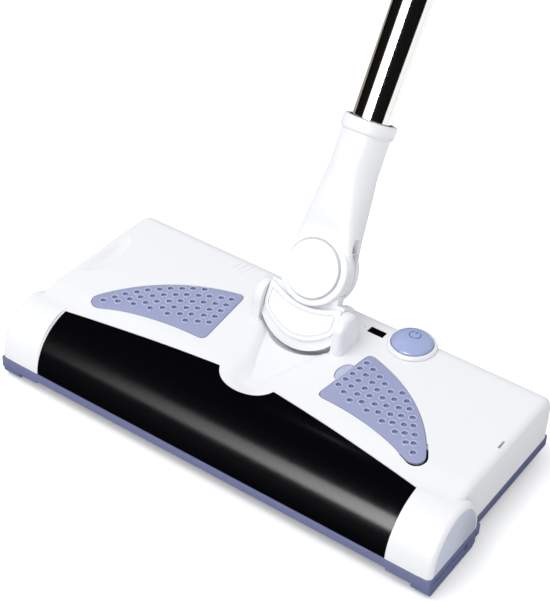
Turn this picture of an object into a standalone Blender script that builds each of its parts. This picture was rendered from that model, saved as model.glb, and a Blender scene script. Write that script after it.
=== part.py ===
"""Cordless carpet sweeper: a low powered head, a two-way neck and a telescopic handle.

Metres, +Z up. The head is modelled with its front edge on y = 0 and the floor on z = 0;
the empty "sweeper" then moves it so that the origin lies under the middle of the whole object.
"""
import math

import bmesh
import bpy
from mathutils import Matrix, Vector

# Driving dimensions
gap = 0.0003                 # between neighbouring pieces
front_half = 0.1445          # half width of the front section
rear_half = 0.1407           # half width of the rear section
depth = 0.135                # front edge to rear wall
split_z = 0.014              # where the base meets the cover
top_z = 0.046                # flat top of the cover
wall = 0.003                 # cover wall
roll_radius = 0.030          # front quarter round
window_half = 0.1175         # half width of the window
base_floor_z = 0.0065        # underside of the base
roller_y = 0.029
roller_z = 0.0204
bristle_radius = 0.0202
tilt_y = 0.097               # tilt axis, along X
tilt_z = 0.059
lean = math.radians(29.2)    # handle behind the vertical at rest
swivel_rise = 0.0245         # swivel axis above the tilt axis, along the handle
ear_inner = 0.0245
ear_outer = 0.031
ear_radius = 0.0095
pocket_radius = 0.0276       # room for the knuckle as it tilts
pocket_rear = 0.1085
fork_radius = 0.0211
fork_gap = 0.0036            # half the slot between the fork's ears
fork_face = 0.0082
recess_depth = 0.0018        # pads sit this deep in the cover
motor_y = 0.1160
motor_z = 0.0220
screw_places = [(-0.1275, 0.0460), (0.112, 0.100), (-0.060, 0.1285), (0.020, 0.1285)]
button_centre = (0.0575, 0.1205)
cell_radius = 0.0090
tube_radius = 0.011
tube_wall = 0.0005
middle_radius = 0.0101
inner_radius = 0.0092
base_wall = 0.0025
tray_wall = 0.0015
rear_wheel_x = 0.1310
handle_end = 0.612           # grip's end, from the swivel axis


def clear_scene():
    for obj in list(bpy.data.objects):
        bpy.data.objects.remove(obj, do_unlink=True)


def collection(name):
    found = bpy.data.collections.get(name)
    if found is None:
        found = bpy.data.collections.new(name)
        bpy.context.scene.collection.children.link(found)
    return found


clear_scene()
parts = collection("carpet_sweeper")
cutters = collection("cutters")


def empty(name, location=(0, 0, 0), rotation=(0, 0, 0), parent=None):
    obj = bpy.data.objects.new(name, None)
    obj.empty_display_size = 0.02
    obj.location = location
    obj.rotation_euler = rotation
    obj.parent = parent
    parts.objects.link(obj)
    return obj


def paint(name, rgb, roughness, metallic=0.0):
    mat = bpy.data.materials.new(name)
    mat.use_nodes = True
    shader = mat.node_tree.nodes["Principled BSDF"]
    shader.inputs["Base Color"].default_value = (*rgb, 1.0)
    shader.inputs["Roughness"].default_value = roughness
    shader.inputs["Metallic"].default_value = metallic
    return mat


white = paint("white_plastic", (0.86, 0.87, 0.89), 0.35)
lavender = paint("lavender_plastic", (0.27, 0.31, 0.53), 0.45)
black = paint("black_plastic", (0.02, 0.02, 0.025), 0.5)
smoked = paint("black_window", (0.005, 0.005, 0.006), 0.05)
chromed = paint("chrome", (0.8, 0.8, 0.82), 0.08, 1.0)
steel = paint("steel", (0.55, 0.55, 0.57), 0.3, 1.0)
board_green = paint("circuit_board", (0.03, 0.18, 0.08), 0.5)
rubber = paint("rubber", (0.03, 0.03, 0.03), 0.8)
nylon = paint("bristles", (0.12, 0.14, 0.25), 0.7)
cell_wrap = paint("cell_wrap", (0.05, 0.2, 0.5), 0.4)
red_lamp = paint("lamp", (0.6, 0.05, 0.03), 0.3)
grey = paint("grey_plastic", (0.3, 0.31, 0.34), 0.5)
copper = paint("lead_insulation", (0.5, 0.03, 0.03), 0.5)

sweeper = empty("sweeper")


def finish(obj, material, parent=None, smooth=True):
    """Name the material, parent the piece and smooth its round sides."""
    obj.data.materials.clear()
    obj.data.materials.append(material)
    obj.parent = parent or sweeper
    if smooth:
        obj.data.shade_smooth()
        obj.data.set_sharp_from_angle(angle=math.radians(35))
    return obj


def mesh_object(name, mesh_bm, group=parts):
    mesh = bpy.data.meshes.new(name)
    mesh_bm.to_mesh(mesh)
    mesh_bm.free()
    obj = bpy.data.objects.new(name, mesh)
    group.objects.link(obj)
    return obj


def hide_cutter(obj):
    obj.hide_render = True
    obj.display_type = 'WIRE'
    return obj


def box(name, low, high, group=parts):
    low, high = Vector(low), Vector(high)
    bm = bmesh.new()
    bmesh.ops.create_cube(bm, size=1.0)
    bmesh.ops.scale(bm, vec=high - low, verts=bm.verts)
    bmesh.ops.translate(bm, vec=(low + high) / 2, verts=bm.verts)
    return mesh_object(name, bm, group)


def rod(name, radius, start, end, sides=24, end_radius=None, group=parts):
    """A cylinder, or a cone, from start to end."""
    start, end = Vector(start), Vector(end)
    axis = end - start
    bm = bmesh.new()
    bmesh.ops.create_cone(bm, cap_ends=True, segments=sides, radius1=radius,
                          radius2=radius if end_radius is None else end_radius, depth=axis.length)
    turn = axis.to_track_quat('Z', 'Y').to_matrix().to_4x4()
    bmesh.ops.transform(bm, matrix=Matrix.Translation((start + end) / 2) @ turn, verts=bm.verts)
    return mesh_object(name, bm, group)


def turned(name, profile, steps=24, axis='Z', start=(0, 0, 0), group=parts):
    """A (radius, height) outline turned about Z by a Screw modifier, then laid along the named axis."""
    count = len(profile)
    on_axis = profile[0][0] == 0 and profile[-1][0] == 0
    edges = [(i, (i + 1) % count) for i in range(count - 1 if on_axis else count)]
    mesh = bpy.data.meshes.new(name)
    mesh.from_pydata([(r, 0.0, z) for r, z in profile], edges, [])
    drawn = bpy.data.objects.new(name + "_profile", mesh)
    group.objects.link(drawn)
    screw = drawn.modifiers.new("turn", 'SCREW')
    screw.steps = screw.render_steps = steps
    screw.use_merge_vertices = True
    screw.merge_threshold = 0.00001
    bpy.context.view_layer.update()
    solid = bpy.data.meshes.new_from_object(drawn.evaluated_get(bpy.context.evaluated_depsgraph_get()))
    bpy.data.objects.remove(drawn, do_unlink=True)
    bm = bmesh.new()
    bm.from_mesh(solid)
    bmesh.ops.recalc_face_normals(bm, faces=bm.faces)
    turns = {'Z': Matrix.Identity(4), 'X': Matrix.Rotation(math.pi / 2, 4, 'Y'),
             'Y': Matrix.Rotation(-math.pi / 2, 4, 'X')}
    bmesh.ops.transform(bm, matrix=Matrix.Translation(start) @ turns[axis], verts=bm.verts)
    return mesh_object(name, bm, group)


def ring(name, inner, outer, start, length, axis='X', steps=24, group=parts):
    return turned(name, [(inner, 0), (outer, 0), (outer, length), (inner, length)], steps, axis, start, group)


def prism(name, outline, low, high, axis='Z', group=parts):
    """A flat outline drawn as a filled 2D curve and extruded between two levels of an axis."""
    curve = bpy.data.curves.new(name, 'CURVE')
    curve.dimensions = '2D'
    curve.fill_mode = 'BOTH'
    curve.extrude = (high - low) / 2
    spline = curve.splines.new('POLY')
    spline.points.add(len(outline) - 1)
    for point, (u, v) in zip(spline.points, outline):
        point.co = (u, v, 0, 1)
    spline.use_cyclic_u = True
    drawn = bpy.data.objects.new(name + "_outline", curve)
    group.objects.link(drawn)
    # X: outline is (y, z); Y: outline is (x, z); Z: outline is (x, y)
    turns = {'Z': Matrix.Identity(4),
             'X': Matrix(((0, 0, 1, 0), (1, 0, 0, 0), (0, 1, 0, 0), (0, 0, 0, 1))),
             'Y': Matrix(((1, 0, 0, 0), (0, 0, -1, 0), (0, 1, 0, 0), (0, 0, 0, 1)))}
    middle = (high + low) / 2
    shift = {'Z': (0, 0, middle), 'X': (middle, 0, 0), 'Y': (0, middle, 0)}[axis]
    drawn.matrix_world = Matrix.Translation(shift) @ turns[axis]
    bpy.context.view_layer.update()
    mesh = bpy.data.meshes.new_from_object(drawn.evaluated_get(bpy.context.evaluated_depsgraph_get()))
    mesh.transform(drawn.matrix_world)
    bpy.data.objects.remove(drawn, do_unlink=True)
    bm = bmesh.new()
    bm.from_mesh(mesh)
    bmesh.ops.remove_doubles(bm, verts=bm.verts, dist=1e-6)
    bmesh.ops.recalc_face_normals(bm, faces=bm.faces)
    return mesh_object(name, bm, group)


def wire(name, points, radius):
    """A thin lead along points, with closed ends."""
    curve = bpy.data.curves.new(name, 'CURVE')
    curve.dimensions = '3D'
    curve.bevel_depth = radius
    curve.bevel_resolution = 1
    curve.use_fill_caps = True
    spline = curve.splines.new('POLY')
    spline.points.add(len(points) - 1)
    for point, co in zip(spline.points, points):
        point.co = (*co, 1)
    obj = bpy.data.objects.new(name, curve)
    parts.objects.link(obj)
    return obj


def combine(obj, other, operation='DIFFERENCE'):
    """Boolean with another object, applied, and the other one removed."""
    hide_cutter(other)
    mod = obj.modifiers.new("cut", 'BOOLEAN')
    mod.operation = operation
    mod.object = other
    bpy.context.view_layer.update()
    mesh = bpy.data.meshes.new_from_object(obj.evaluated_get(bpy.context.evaluated_depsgraph_get()))
    obj.modifiers.remove(mod)
    obj.data = mesh
    bpy.data.objects.remove(other, do_unlink=True)
    return obj


def arc(centre, radius, start, end, count, second_radius=None):
    """Points on a circle, or an ellipse, between two angles in degrees."""
    tall = radius if second_radius is None else second_radius
    steps = [math.radians(start + (end - start) * i / count) for i in range(count + 1)]
    return [(centre[0] + radius * math.cos(a), centre[1] + tall * math.sin(a)) for a in steps]


# The head -------------------------------------------------------------------------------------

def cover_profile(inset, bottom):
    """Side view of the cover: quarter round front, flat top, rounded rear edge."""
    radius = roll_radius - inset
    rear_round = 0.012 - inset * 0.5
    top = top_z - inset
    rear = depth - inset
    front = [p for p in arc((roll_radius, split_z), radius, 180, 90, 10) if p[1] > bottom + gap]
    back = arc((rear - rear_round, top - rear_round), rear_round, 90, 0, 5)
    return [(inset, bottom)] + front + [(0.046, top)] + back + [(rear, bottom)]


def end_profile(inset, bottom):
    """The half ellipse that closes each end of the front section."""
    hump = arc((0.025, split_z), 0.025 - inset, 180, 0, 14, 0.0305 - inset)
    above = [p for p in hump if p[1] > bottom + gap]
    return [(inset, bottom)] + above + [(0.050 - inset, bottom)]


def window_outline(inset):
    """Plan of the window: straight sides, edges that rise to the middle and a round lobe."""
    half = window_half - inset
    corner_y = 0.0265 - inset
    lobe = [(x, y - inset) for x, y in arc((0, 0.0455), 0.0190, 198, 342, 10, 0.0150)]
    return [(-half, -0.01), (half, -0.01), (half, corner_y)] + lobe[::-1] + [(-half, corner_y)]


def pad_outline(side, inset=0.0, tab=False):
    """Fan-shaped grip pad between three rounded corners; side is -1 left, 1 right."""
    neck_front, neck_rear = (0.0388, 0.0530), (0.0424, 0.0980)
    upper = [(0.0500, 0.0978), (0.0610, 0.0942), (0.0740, 0.0870), (0.0870, 0.0775),
             (0.0975, 0.0670), (0.1050, 0.0565)]
    tip = arc((0.1050, 0.0445), 0.0055, 20, -95, 5)
    lower = [(0.0950, 0.0450), (0.0830, 0.0487), (0.0680, 0.0510), (0.0540, 0.0520)]
    points = [neck_rear] + upper + tip + lower + [neck_front]
    if tab:
        points += arc((0.0402, 0.0775), 0.0062, 262, 98, 6)
    middle = Vector((0.070, 0.066))
    shrunk = []
    for x, y in points:
        away = Vector((x, y)) - middle
        shrunk.append(middle + away * (1 - inset / away.length))
    ordered = [(side * p.x, p.y) for p in shrunk]
    return ordered


def make_cover():
    low = split_z + gap / 2
    body = prism("top_cover", cover_profile(0, low - 0.004), -rear_half, rear_half, 'X')
    ends = prism("ends", end_profile(gap, low - 0.006), -front_half, front_half, 'X', cutters)
    combine(body, ends, 'UNION')
    inner_rear, inner_front = rear_half - wall, front_half - wall
    hollow = prism("hollow", cover_profile(wall, low - 0.010), -inner_rear, inner_rear, 'X', cutters)
    hollow_ends = prism("hollow_ends", end_profile(wall + gap, low - 0.012), -inner_front, inner_front, 'X', cutters)
    combine(hollow, hollow_ends, 'UNION')
    combine(body, hollow)
    combine(body, box("below", (-0.2, -0.05, -0.05), (0.2, 0.2, low), cutters))
    # the walls of the neck pocket and of the valley in front of it
    floor = [(0.040, 0.0445), (0.040, 0.0375), (0.060, 0.0336), (0.0757, 0.0305)]
    floor += arc((tilt_y, tilt_z), pocket_radius + 0.0025, 250, 298, 6) + [(pocket_rear + 0.0025, 0.0445)]
    combine(body, prism("boss", floor, -ear_outer + 0.0006, ear_outer - 0.0006, 'X', cutters), 'UNION')
    for side in (-1, 1):
        inner, outer = sorted((side * (ear_inner - 0.002), side * ear_outer))
        lug = [(tilt_y + ear_radius + 0.001, 0.0440)] + arc((tilt_y - 0.001, tilt_z), ear_radius, 0, 180, 10)
        lug += [(tilt_y - ear_radius - 0.002, 0.0440)]
        combine(body, prism("ear", lug, inner, outer, 'X', cutters), 'UNION')
    room = arc((tilt_y, tilt_z), pocket_radius, 180, 294, 12) + [(pocket_rear, 0.080), (0.060, 0.080)]
    combine(body, prism("pocket", room, -ear_inner, ear_inner, 'X', cutters))
    valley = rod("valley", 0.0115, (0, 0.030, 0.0535), (0, 0.088, 0.0515), 20, 0.0205, cutters)
    combine(body, valley)
    pin_hole = rod("pin_hole", 0.0033, (-0.04, tilt_y, tilt_z), (0.04, tilt_y, tilt_z), 16, group=cutters)
    combine(body, pin_hole)
    combine(body, prism("window_hole", window_outline(0), 0.0, 0.06, 'Z', cutters))
    for side in (-1, 1):
        recess = prism("recess", pad_outline(side, -gap, side > 0), top_z - recess_depth, 0.06, 'Z', cutters)
        combine(body, recess)
    combine(body, prism("lid_hole", pad_outline(1, 0.004), 0.038, 0.06, 'Z', cutters))
    # the lid's tip swings down through here, in front of and beside its hinge
    combine(body, box("tip_room", (0.0965, 0.0370, 0.038), (0.1128, 0.0500, top_z - recess_depth), cutters))
    combine(body, prism("tip_recess", pad_outline(1, -0.0009), top_z - recess_depth, 0.06, 'Z', cutters))
    seat = rod("button_seat", 0.0135, (*button_centre, 0.038), (*button_centre, 0.06), 32, group=cutters)
    combine(body, seat)
    combine(body, box("lens_hole", (0.0302, 0.1155, 0.038), (0.0408, 0.1211, 0.06), cutters))
    combine(body, box("drawer_hole", (-0.15, 0.0555, 0.0), (-0.125, 0.1080, 0.0290), cutters))
    inlet = rod("inlet", 0.0043, (-0.03, 0.12, 0.026), (-0.03, 0.15, 0.026), 20, group=cutters)
    combine(body, inlet)
    return finish(body, white)


def make_window():
    top = [(y, z) for y, z in cover_profile(0, split_z + gap)]
    under = [(y, z) for y, z in cover_profile(0.002, split_z + gap)]
    skin = [p for p in top if p[0] < 0.05]
    back = [p for p in under if p[0] < 0.05]
    shell = prism("brush_window", skin + back[::-1], -0.13, 0.13, 'X')
    combine(shell, prism("window_plan", window_outline(gap), 0.0, 0.06, 'Z', cutters), 'INTERSECT')
    return finish(shell, smoked)


def make_base():
    top = split_z - gap / 2
    body = box("base_frame", (-rear_half, 0.0505, base_floor_z), (rear_half, depth, top))
    inside = rear_half - base_wall
    tray = box("tray", (-inside, 0.0530, 0.0085), (inside, depth - base_wall, 0.03), cutters)
    combine(body, tray)
    combine(body, box("bar", (-0.1190, 0.0, 0.0080), (0.1190, 0.0035, top), cutters), 'UNION')
    for side in (-1, 1):
        inner, outer = sorted((side * 0.1185, side * front_half))
        block = prism("block", [(0.0, base_floor_z), (0.052, base_floor_z), (0.052, top), (0.0, top)],
                      inner, outer, 'X', cutters)
        combine(body, block, 'UNION')
        inner, outer = sorted((side * 0.1335, side * front_half))
        skid = prism("skid", [(0.001, 0.0032), (0.003, 0.0012), (0.046, 0.0012), (0.0485, 0.0035),
                              (0.0485, 0.010), (0.001, 0.010)], inner, outer, 'X', cutters)
        combine(body, skid, 'UNION')
        inner, outer = sorted((side * 0.1359, side * 0.1424))
        combine(body, box("front_wheel_slot", (inner, 0.0310, -0.01), (outer, 0.0465, 0.03), cutters))
        combine(body, rod("axle_hole", 0.0018, (side * 0.13, 0.0385, 0.007), (side * 0.15, 0.0385, 0.007),
                          12, group=cutters))
        inner, outer = sorted((side * 0.1265, side * 0.1355))
        combine(body, box("rear_wheel_slot", (inner, 0.1090, -0.01), (outer, depth + 0.0025, 0.03), cutters))
        # groove along the side of the front block
        side_groove = box("groove", (side * 0.1441 - 0.0006, 0.004, 0.0085),
                          (side * 0.1441 + 0.0006, 0.0515, 0.0095), cutters)
        combine(body, side_groove)
    combine(body, box("belt_room", (0.1183, 0.0140, 0.0092), (0.1262, 0.0600, 0.03), cutters))
    combine(body, box("drawer_room", (-0.16, 0.0560, 0.0085), (-0.13, 0.1075, 0.03), cutters))
    for x, y in screw_places:
        combine(body, rod("screw_hole", 0.0019, (x, y, 0.0), (x, y, 0.03), 12, group=cutters))
    return finish(body, lavender)


def make_base_details():
    for number, (x, y) in enumerate(screw_places, 1):
        profile = [(0, 0.0045), (0.0032, 0.0045), (0.0032, 0.0062), (0.0016, 0.0062), (0.0016, 0.0125),
                   (0, 0.0125)]
        finish(turned("case_screw_%d" % number, profile, 12, 'Z', (x, y, 0)), steel)
    blade = prism("scraper_blade", [(0.0508, 0.0062), (0.0490, 0.0014), (0.0502, 0.0010), (0.0530, 0.0062)],
                  -0.110, 0.110, 'X')
    finish(blade, rubber, smooth=False)


def make_wheels():
    for side, word in ((-1, "left"), (1, "right")):
        hub = (side * rear_wheel_x, 0.1205, 0.0112)
        start = Vector(hub) - Vector((0.0035, 0, 0))
        wheel = turned("rear_wheel_" + word, [(0.0018, 0), (0.0104, 0), (0.0112, 0.0010), (0.0112, 0.0060),
                                              (0.0104, 0.0070), (0.0018, 0.0070)], 32, 'X', start)
        finish(set_origin(wheel, hub), rubber)
        middle = side * rear_wheel_x
        carrier = box("rear_axle_" + word, (middle - 0.0065, 0.1180, 0.0088), (middle + 0.0065, 0.1230, 0.0170), parts)
        fork_room = box("fork_room", (middle - 0.0039, 0.115, 0.0), (middle + 0.0039, 0.126, 0.0200), cutters)
        combine(carrier, fork_room)
        axle = rod("axle", 0.0014, (middle - 0.0050, 0.1205, 0.0112), (middle + 0.0050, 0.1205, 0.0112), 12,
                   group=cutters)
        combine(carrier, axle, 'UNION')
        finish(carrier, steel)
        hub = (side * 0.13915, 0.0385, 0.0070)
        start = Vector(hub) - Vector((0.0028, 0, 0))
        wheel = turned("front_wheel_" + word, [(0.0016, 0), (0.0065, 0), (0.0070, 0.0006), (0.0070, 0.0050),
                                               (0.0065, 0.0056), (0.0016, 0.0056)], 24, 'X', start)
        finish(set_origin(wheel, hub), rubber)
        pin = rod("front_axle_" + word, 0.0013, (side * 0.1340, 0.0385, 0.0070),
                  (side * 0.1440, 0.0385, 0.0070), 12)
        finish(pin, steel)


def set_origin(obj, place):
    """Put an object's origin on its joint's axis without moving its shape."""
    obj.data.transform(Matrix.Translation(-Vector(place)))
    obj.location = place
    return obj


def make_roller():
    centre = (0, roller_y, roller_z)
    shaft = rod("roller_shaft", 0.0020, (-0.1225, roller_y, roller_z), (0.1305, roller_y, roller_z), 16)
    finish(set_origin(shaft, centre), steel)
    core = ring("brush_core", 0.0022, 0.0085, (-0.1120, roller_y, roller_z), 0.2240, 'X', 24)
    finish(set_origin(core, centre), white)
    lobes, slices, length = 6, 10, 0.2200
    bm = bmesh.new()
    rings = []
    for i in range(slices + 1):
        x = -length / 2 + length * i / slices
        twist = math.radians(240) * abs(x) / length
        loop = []
        for k in range(lobes * 4):
            angle = 2 * math.pi * k / (lobes * 4) + twist
            radius = bristle_radius if k % 4 in (0, 1) else 0.0105
            loop.append(bm.verts.new((x, radius * math.cos(angle), radius * math.sin(angle))))
        inner = [bm.verts.new((x, 0.0088 * math.cos(2 * math.pi * k / (lobes * 4) + twist),
                               0.0088 * math.sin(2 * math.pi * k / (lobes * 4) + twist)))
                 for k in range(lobes * 4)]
        rings.append((loop, inner))
    count = lobes * 4
    for (loop, inner), (next_loop, next_inner) in zip(rings, rings[1:]):
        for k in range(count):
            j = (k + 1) % count
            bm.faces.new((loop[k], loop[j], next_loop[j], next_loop[k]))
            bm.faces.new((inner[k], inner[j], next_inner[j], next_inner[k]))
    for loop, inner in (rings[0], rings[-1]):
        for k in range(count):
            j = (k + 1) % count
            bm.faces.new((loop[k], loop[j], inner[j], inner[k]))
    bmesh.ops.triangulate(bm, faces=bm.faces)
    bmesh.ops.recalc_face_normals(bm, faces=bm.faces)
    bristles = mesh_object("brush_bristles", bm)
    bristles.location = centre
    finish(bristles, nylon, smooth=False)
    pulley = ring("roller_pulley", 0.0023, 0.0090, (0.1188, roller_y, roller_z), 0.0060, 'X', 24)
    finish(set_origin(pulley, centre), grey)
    bearings = (("roller_bearing_left", -0.1225, -0.1187), ("roller_bearing_right", 0.1270, 0.1306))
    for name, low, high in bearings:
        block = box(name, (low, 0.0225, split_z), (high, 0.0355, 0.0270))
        hole = rod("hole", 0.0023, (low - 0.01, roller_y, roller_z), (high + 0.01, roller_y, roller_z), 16,
                   group=cutters)
        combine(block, hole)
        finish(block, grey)


def make_drive():
    can = [(0, 0), (0.0045, 0), (0.0045, 0.0015), (0.0115, 0.0015), (0.0115, 0.0480), (0.0050, 0.0480),
           (0.0050, 0.0500), (0, 0.0500)]
    body = turned("motor", can, 28, 'X', (0.0620, motor_y, motor_z))
    shaft_room = rod("shaft_room", 0.0015, (0.10, motor_y, motor_z), (0.12, motor_y, motor_z), 12, group=cutters)
    combine(body, shaft_room)
    finish(body, steel)
    spindle = rod("motor_pulley", 0.0045, (0.1188, motor_y, motor_z), (0.1248, motor_y, motor_z), 20)
    combine(spindle, rod("spindle", 0.0012, (0.1010, motor_y, motor_z), (0.1200, motor_y, motor_z), 12,
                         group=cutters), 'UNION')
    finish(set_origin(spindle, (0, motor_y, motor_z)), grey)
    saddle = box("motor_saddle", (0.0680, 0.1030, 0.0088), (0.1060, 0.1290, 0.0170))
    saddle_cut = rod("saddle_cut", 0.0119, (0.05, motor_y, motor_z), (0.12, motor_y, motor_z), 28, group=cutters)
    combine(saddle, saddle_cut)
    finish(saddle, grey)
    belt_outline = belt_path(0.0105, 0.0060)
    belt = prism("drive_belt", belt_outline, 0.1192, 0.1244, 'X')
    combine(belt, prism("belt_inner", belt_path(0.0093, 0.0048), 0.11, 0.13, 'X', cutters))
    finish(belt, rubber)


def belt_path(front_radius, rear_radius):
    """Belt outline round both pulleys, tangent to them, as (y, z) points."""
    across = Vector((motor_y - roller_y, motor_z - roller_z))
    heading = math.degrees(math.atan2(across.y, across.x))
    spread = math.degrees(math.acos((front_radius - rear_radius) / across.length))
    front = arc((roller_y, roller_z), front_radius, heading + spread, heading + 360 - spread, 14)
    rear = arc((motor_y, motor_z), rear_radius, heading - spread, heading + spread, 10)
    return front + rear


def make_power():
    for number, y in ((1, 0.0655), (2, 0.0850)):
        cell = rod("battery_cell_%d" % number, cell_radius, (0.0425, y, 0.0200), (0.1075, y, 0.0200), 24)
        finish(cell, cell_wrap)
    tub = box("battery_box", (0.0402, 0.0542, 0.0088), (0.1100, 0.0960, 0.0290))
    combine(tub, box("tub_room", (0.0417, 0.0557, 0.0103), (0.1085, 0.0945, 0.04), cutters))
    finish(tub, black, smooth=False)
    board = box("circuit_board", (0.0318, 0.1100, 0.0352), (0.0780, 0.1285, 0.0368))
    finish(board, board_green, smooth=False)
    switch = box("push_switch", (0.0547, 0.1177, 0.0371), (0.0603, 0.1233, 0.0392))
    finish(switch, black, smooth=False)
    lamp = rod("indicator_lamp", 0.0015, (0.0355, 0.1183, 0.0371), (0.0355, 0.1183, 0.0415), 12)
    finish(lamp, red_lamp)
    lens = box("indicator_lens", (0.0305, 0.1158, 0.0432), (0.0405, 0.1208, 0.0461))
    finish(lens, smoked, smooth=False)
    socket = ring("charge_socket", 0.0017, 0.0040, (-0.0300, 0.1240, 0.0260), 0.0110, 'Y', 20)
    socket_back = rod("socket_back", 0.0038, (-0.03, 0.1245, 0.026), (-0.03, 0.1260, 0.026), 20, group=cutters)
    combine(socket, socket_back, 'UNION')
    finish(socket, black)
    leads = (("battery_lead", [(0.0385, 0.075, 0.0300), (0.0360, 0.083, 0.0310), (0.0345, 0.095, 0.0325),
                               (0.0345, 0.108, 0.0335), (0.0350, 0.116, 0.0340)]),
             ("motor_lead", [(0.0605, 0.1160, 0.0240), (0.0570, 0.1165, 0.0260), (0.0545, 0.1180, 0.0300),
                             (0.0540, 0.1190, 0.0345)]))
    for name, points in leads:
        finish(wire(name, points, 0.0008), copper, smooth=False)


def make_button():
    centre = button_centre
    collar = [(0.0124, 0.0435), (0.0131, 0.0435), (0.0131, top_z + gap), (0.0143, top_z + gap),
              (0.0140, 0.0475), (0.0132, 0.0484), (0.0124, 0.0480)]
    bezel = turned("button_bezel", collar, 36, 'Z', (*centre, 0))
    finish(bezel, white)
    dome = [(0, 0.0412), (0.0028, 0.0412), (0.0028, 0.0452), (0.0120, 0.0452), (0.0120, 0.0492),
            (0.0114, 0.0506), (0.0095, 0.0516), (0.0060, 0.0523), (0, 0.0526)]
    button = turned("power_button", dome, 32, 'Z', (*centre, 0))
    finish(set_origin(button, (*centre, 0.0452)), lavender)
    turns, per_turn, coil_radius, base, height = 4, 12, 0.0050, 0.0376, 0.0070
    steps = turns * per_turn
    helix = []
    for i in range(steps + 1):
        angle = 2 * math.pi * i / per_turn
        helix.append((centre[0] + coil_radius * math.cos(angle), centre[1] + coil_radius * math.sin(angle),
                      base + height * i / steps))
    finish(wire("button_spring", helix, 0.0004), steel, smooth=False)


def make_pads():
    left = prism("grip_pad_left", pad_outline(-1), top_z - 0.0015, top_z + 0.0003, 'Z')
    finish(left, lavender, smooth=False)
    lid = prism("battery_lid", pad_outline(1, 0.0, True), top_z - 0.0015, top_z + 0.0003, 'Z')
    hinge = (0.1075, 0.0450, top_z - 0.0006)
    finish(set_origin(lid, hinge), lavender, smooth=False)


def make_drawer():
    left, right = -rear_half, 0.0340
    front, rear, low, high = 0.0562, 0.1072, 0.0089, 0.0284
    tray = box("dust_tray", (left, front, low), (right, rear, high))
    inner_front, inner_rear, inner_right = front + tray_wall, rear - tray_wall, right - tray_wall
    dust_room = box("dust_room", (left + 0.003, inner_front, low + tray_wall), (inner_right, inner_rear, 0.05), cutters)
    combine(tray, dust_room)
    dust_mouth = box("dust_mouth", (left + 0.006, front - 0.01, 0.0170), (right - 0.006, front + 0.005, 0.0250),
                     cutters)
    combine(tray, dust_mouth)
    finish(set_origin(tray, (left, (front + rear) / 2, low)), grey, smooth=False)


# The neck and handle, in a frame with +Z along the handle and +Y to its rear ----------------------

tilt = empty("tilt_axis", (0, tilt_y, tilt_z), (-lean, 0, 0), sweeper)
swivel = empty("swivel_axis", (0, 0, swivel_rise), (0, 0, 0), tilt)


def make_knuckle():
    moon_centre, moon_radius, side = 0.0078, 0.0310, ear_inner - gap
    moon = rod("knuckle", moon_radius, (0, -0.0032, moon_centre), (0, 0.0090, moon_centre), 36)
    belly = rod("belly", pocket_radius - gap * 2, (-side, 0, 0), (side, 0, 0), 36, group=cutters)
    combine(moon, belly, 'INTERSECT')
    barrel = rod("barrel", 0.0105, (-side, 0, 0), (side, 0, 0), 28, group=cutters)
    combine(moon, barrel, 'UNION')
    room = rod("fork_room", 0.0243, (0, -0.03, swivel_rise), (0, 0.03, swivel_rise), 36, group=cutters)
    combine(moon, room)
    combine(moon, box("above_horns", (-0.04, -0.03, 0.0098), (0.04, 0.03, 0.06), cutters))
    tongue = rod("tongue", 0.0205, (0, -0.0033, swivel_rise), (0, 0.0033, swivel_rise), 32, group=cutters)
    tongue_root = box("tongue_root", (-0.0190, -0.0033, -0.0050), (0.0190, 0.0033, 0.0150), cutters)
    combine(tongue, tongue_root, 'UNION')
    combine(moon, tongue, 'UNION')
    combine(moon, rod("pin_hole", 0.0030, (-0.04, 0, 0), (0.04, 0, 0), 16, group=cutters))
    bolt_hole = rod("bolt_hole", 0.0033, (0, -0.02, swivel_rise), (0, 0.02, swivel_rise), 16, group=cutters)
    combine(moon, bolt_hole)
    plate_front, plate_back = -0.0053, -0.0035
    combine(moon, box("plate_room", (-0.03, -0.03, -0.03), (0.03, plate_back + gap, 0.0125), cutters))
    combine(moon, rod("screw_room", 0.0012, (0, -0.02, -0.0120), (0, 0.02, -0.0120), 12, group=cutters))
    finish(moon, white, tilt)
    plate = rod("crescent_cover", 0.0304, (0, plate_front, 0.0130), (0, plate_back, 0.0130), 40)
    combine(plate, rod("inner_arc", 0.0450, (0, -0.03, 0.0477), (0, 0.03, 0.0477), 64, group=cutters))
    for side_x in (-1, 1):
        low, high = sorted((side_x * 0.0240, side_x * 0.05))
        combine(plate, box("side_cut", (low, -0.03, -0.05), (high, 0.03, 0.05), cutters))
    finish(plate, white, tilt)


def make_pins():
    pin = rod("tilt_pin", 0.0027, (-0.0308, 0, 0), (0.0308, 0, 0), 16)
    pin.data.transform(Matrix.Translation((0, tilt_y, tilt_z)))
    finish(pin, steel)
    bolt = turned("swivel_bolt", [(0, -0.0079), (0.0055, -0.0079), (0.0055, -0.0062), (0.0030, -0.0062),
                                  (0.0030, 0.0079), (0, 0.0079)], 20, 'Y', (0, 0, 0))
    finish(bolt, steel, swivel)


def socket_section(level):
    """Half width and half thickness of the handle socket at a height above the swivel axis."""
    rows = [(0.0060, 0.0206, 0.0079), (0.0140, 0.0184, 0.0080), (0.0200, 0.0173, 0.0081),
            (0.0270, 0.0164, 0.0096), (0.0350, 0.0155, 0.0112), (0.0460, 0.0147, 0.0128),
            (0.0600, 0.0141, 0.0141), (0.0810, 0.0140, 0.0140)]
    for (a, w0, t0), (b, w1, t1) in zip(rows, rows[1:]):
        if level <= b:
            share = (level - a) / (b - a)
            return w0 + (w1 - w0) * share, t0 + (t1 - t0) * share
    return rows[-1][1:]


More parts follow.
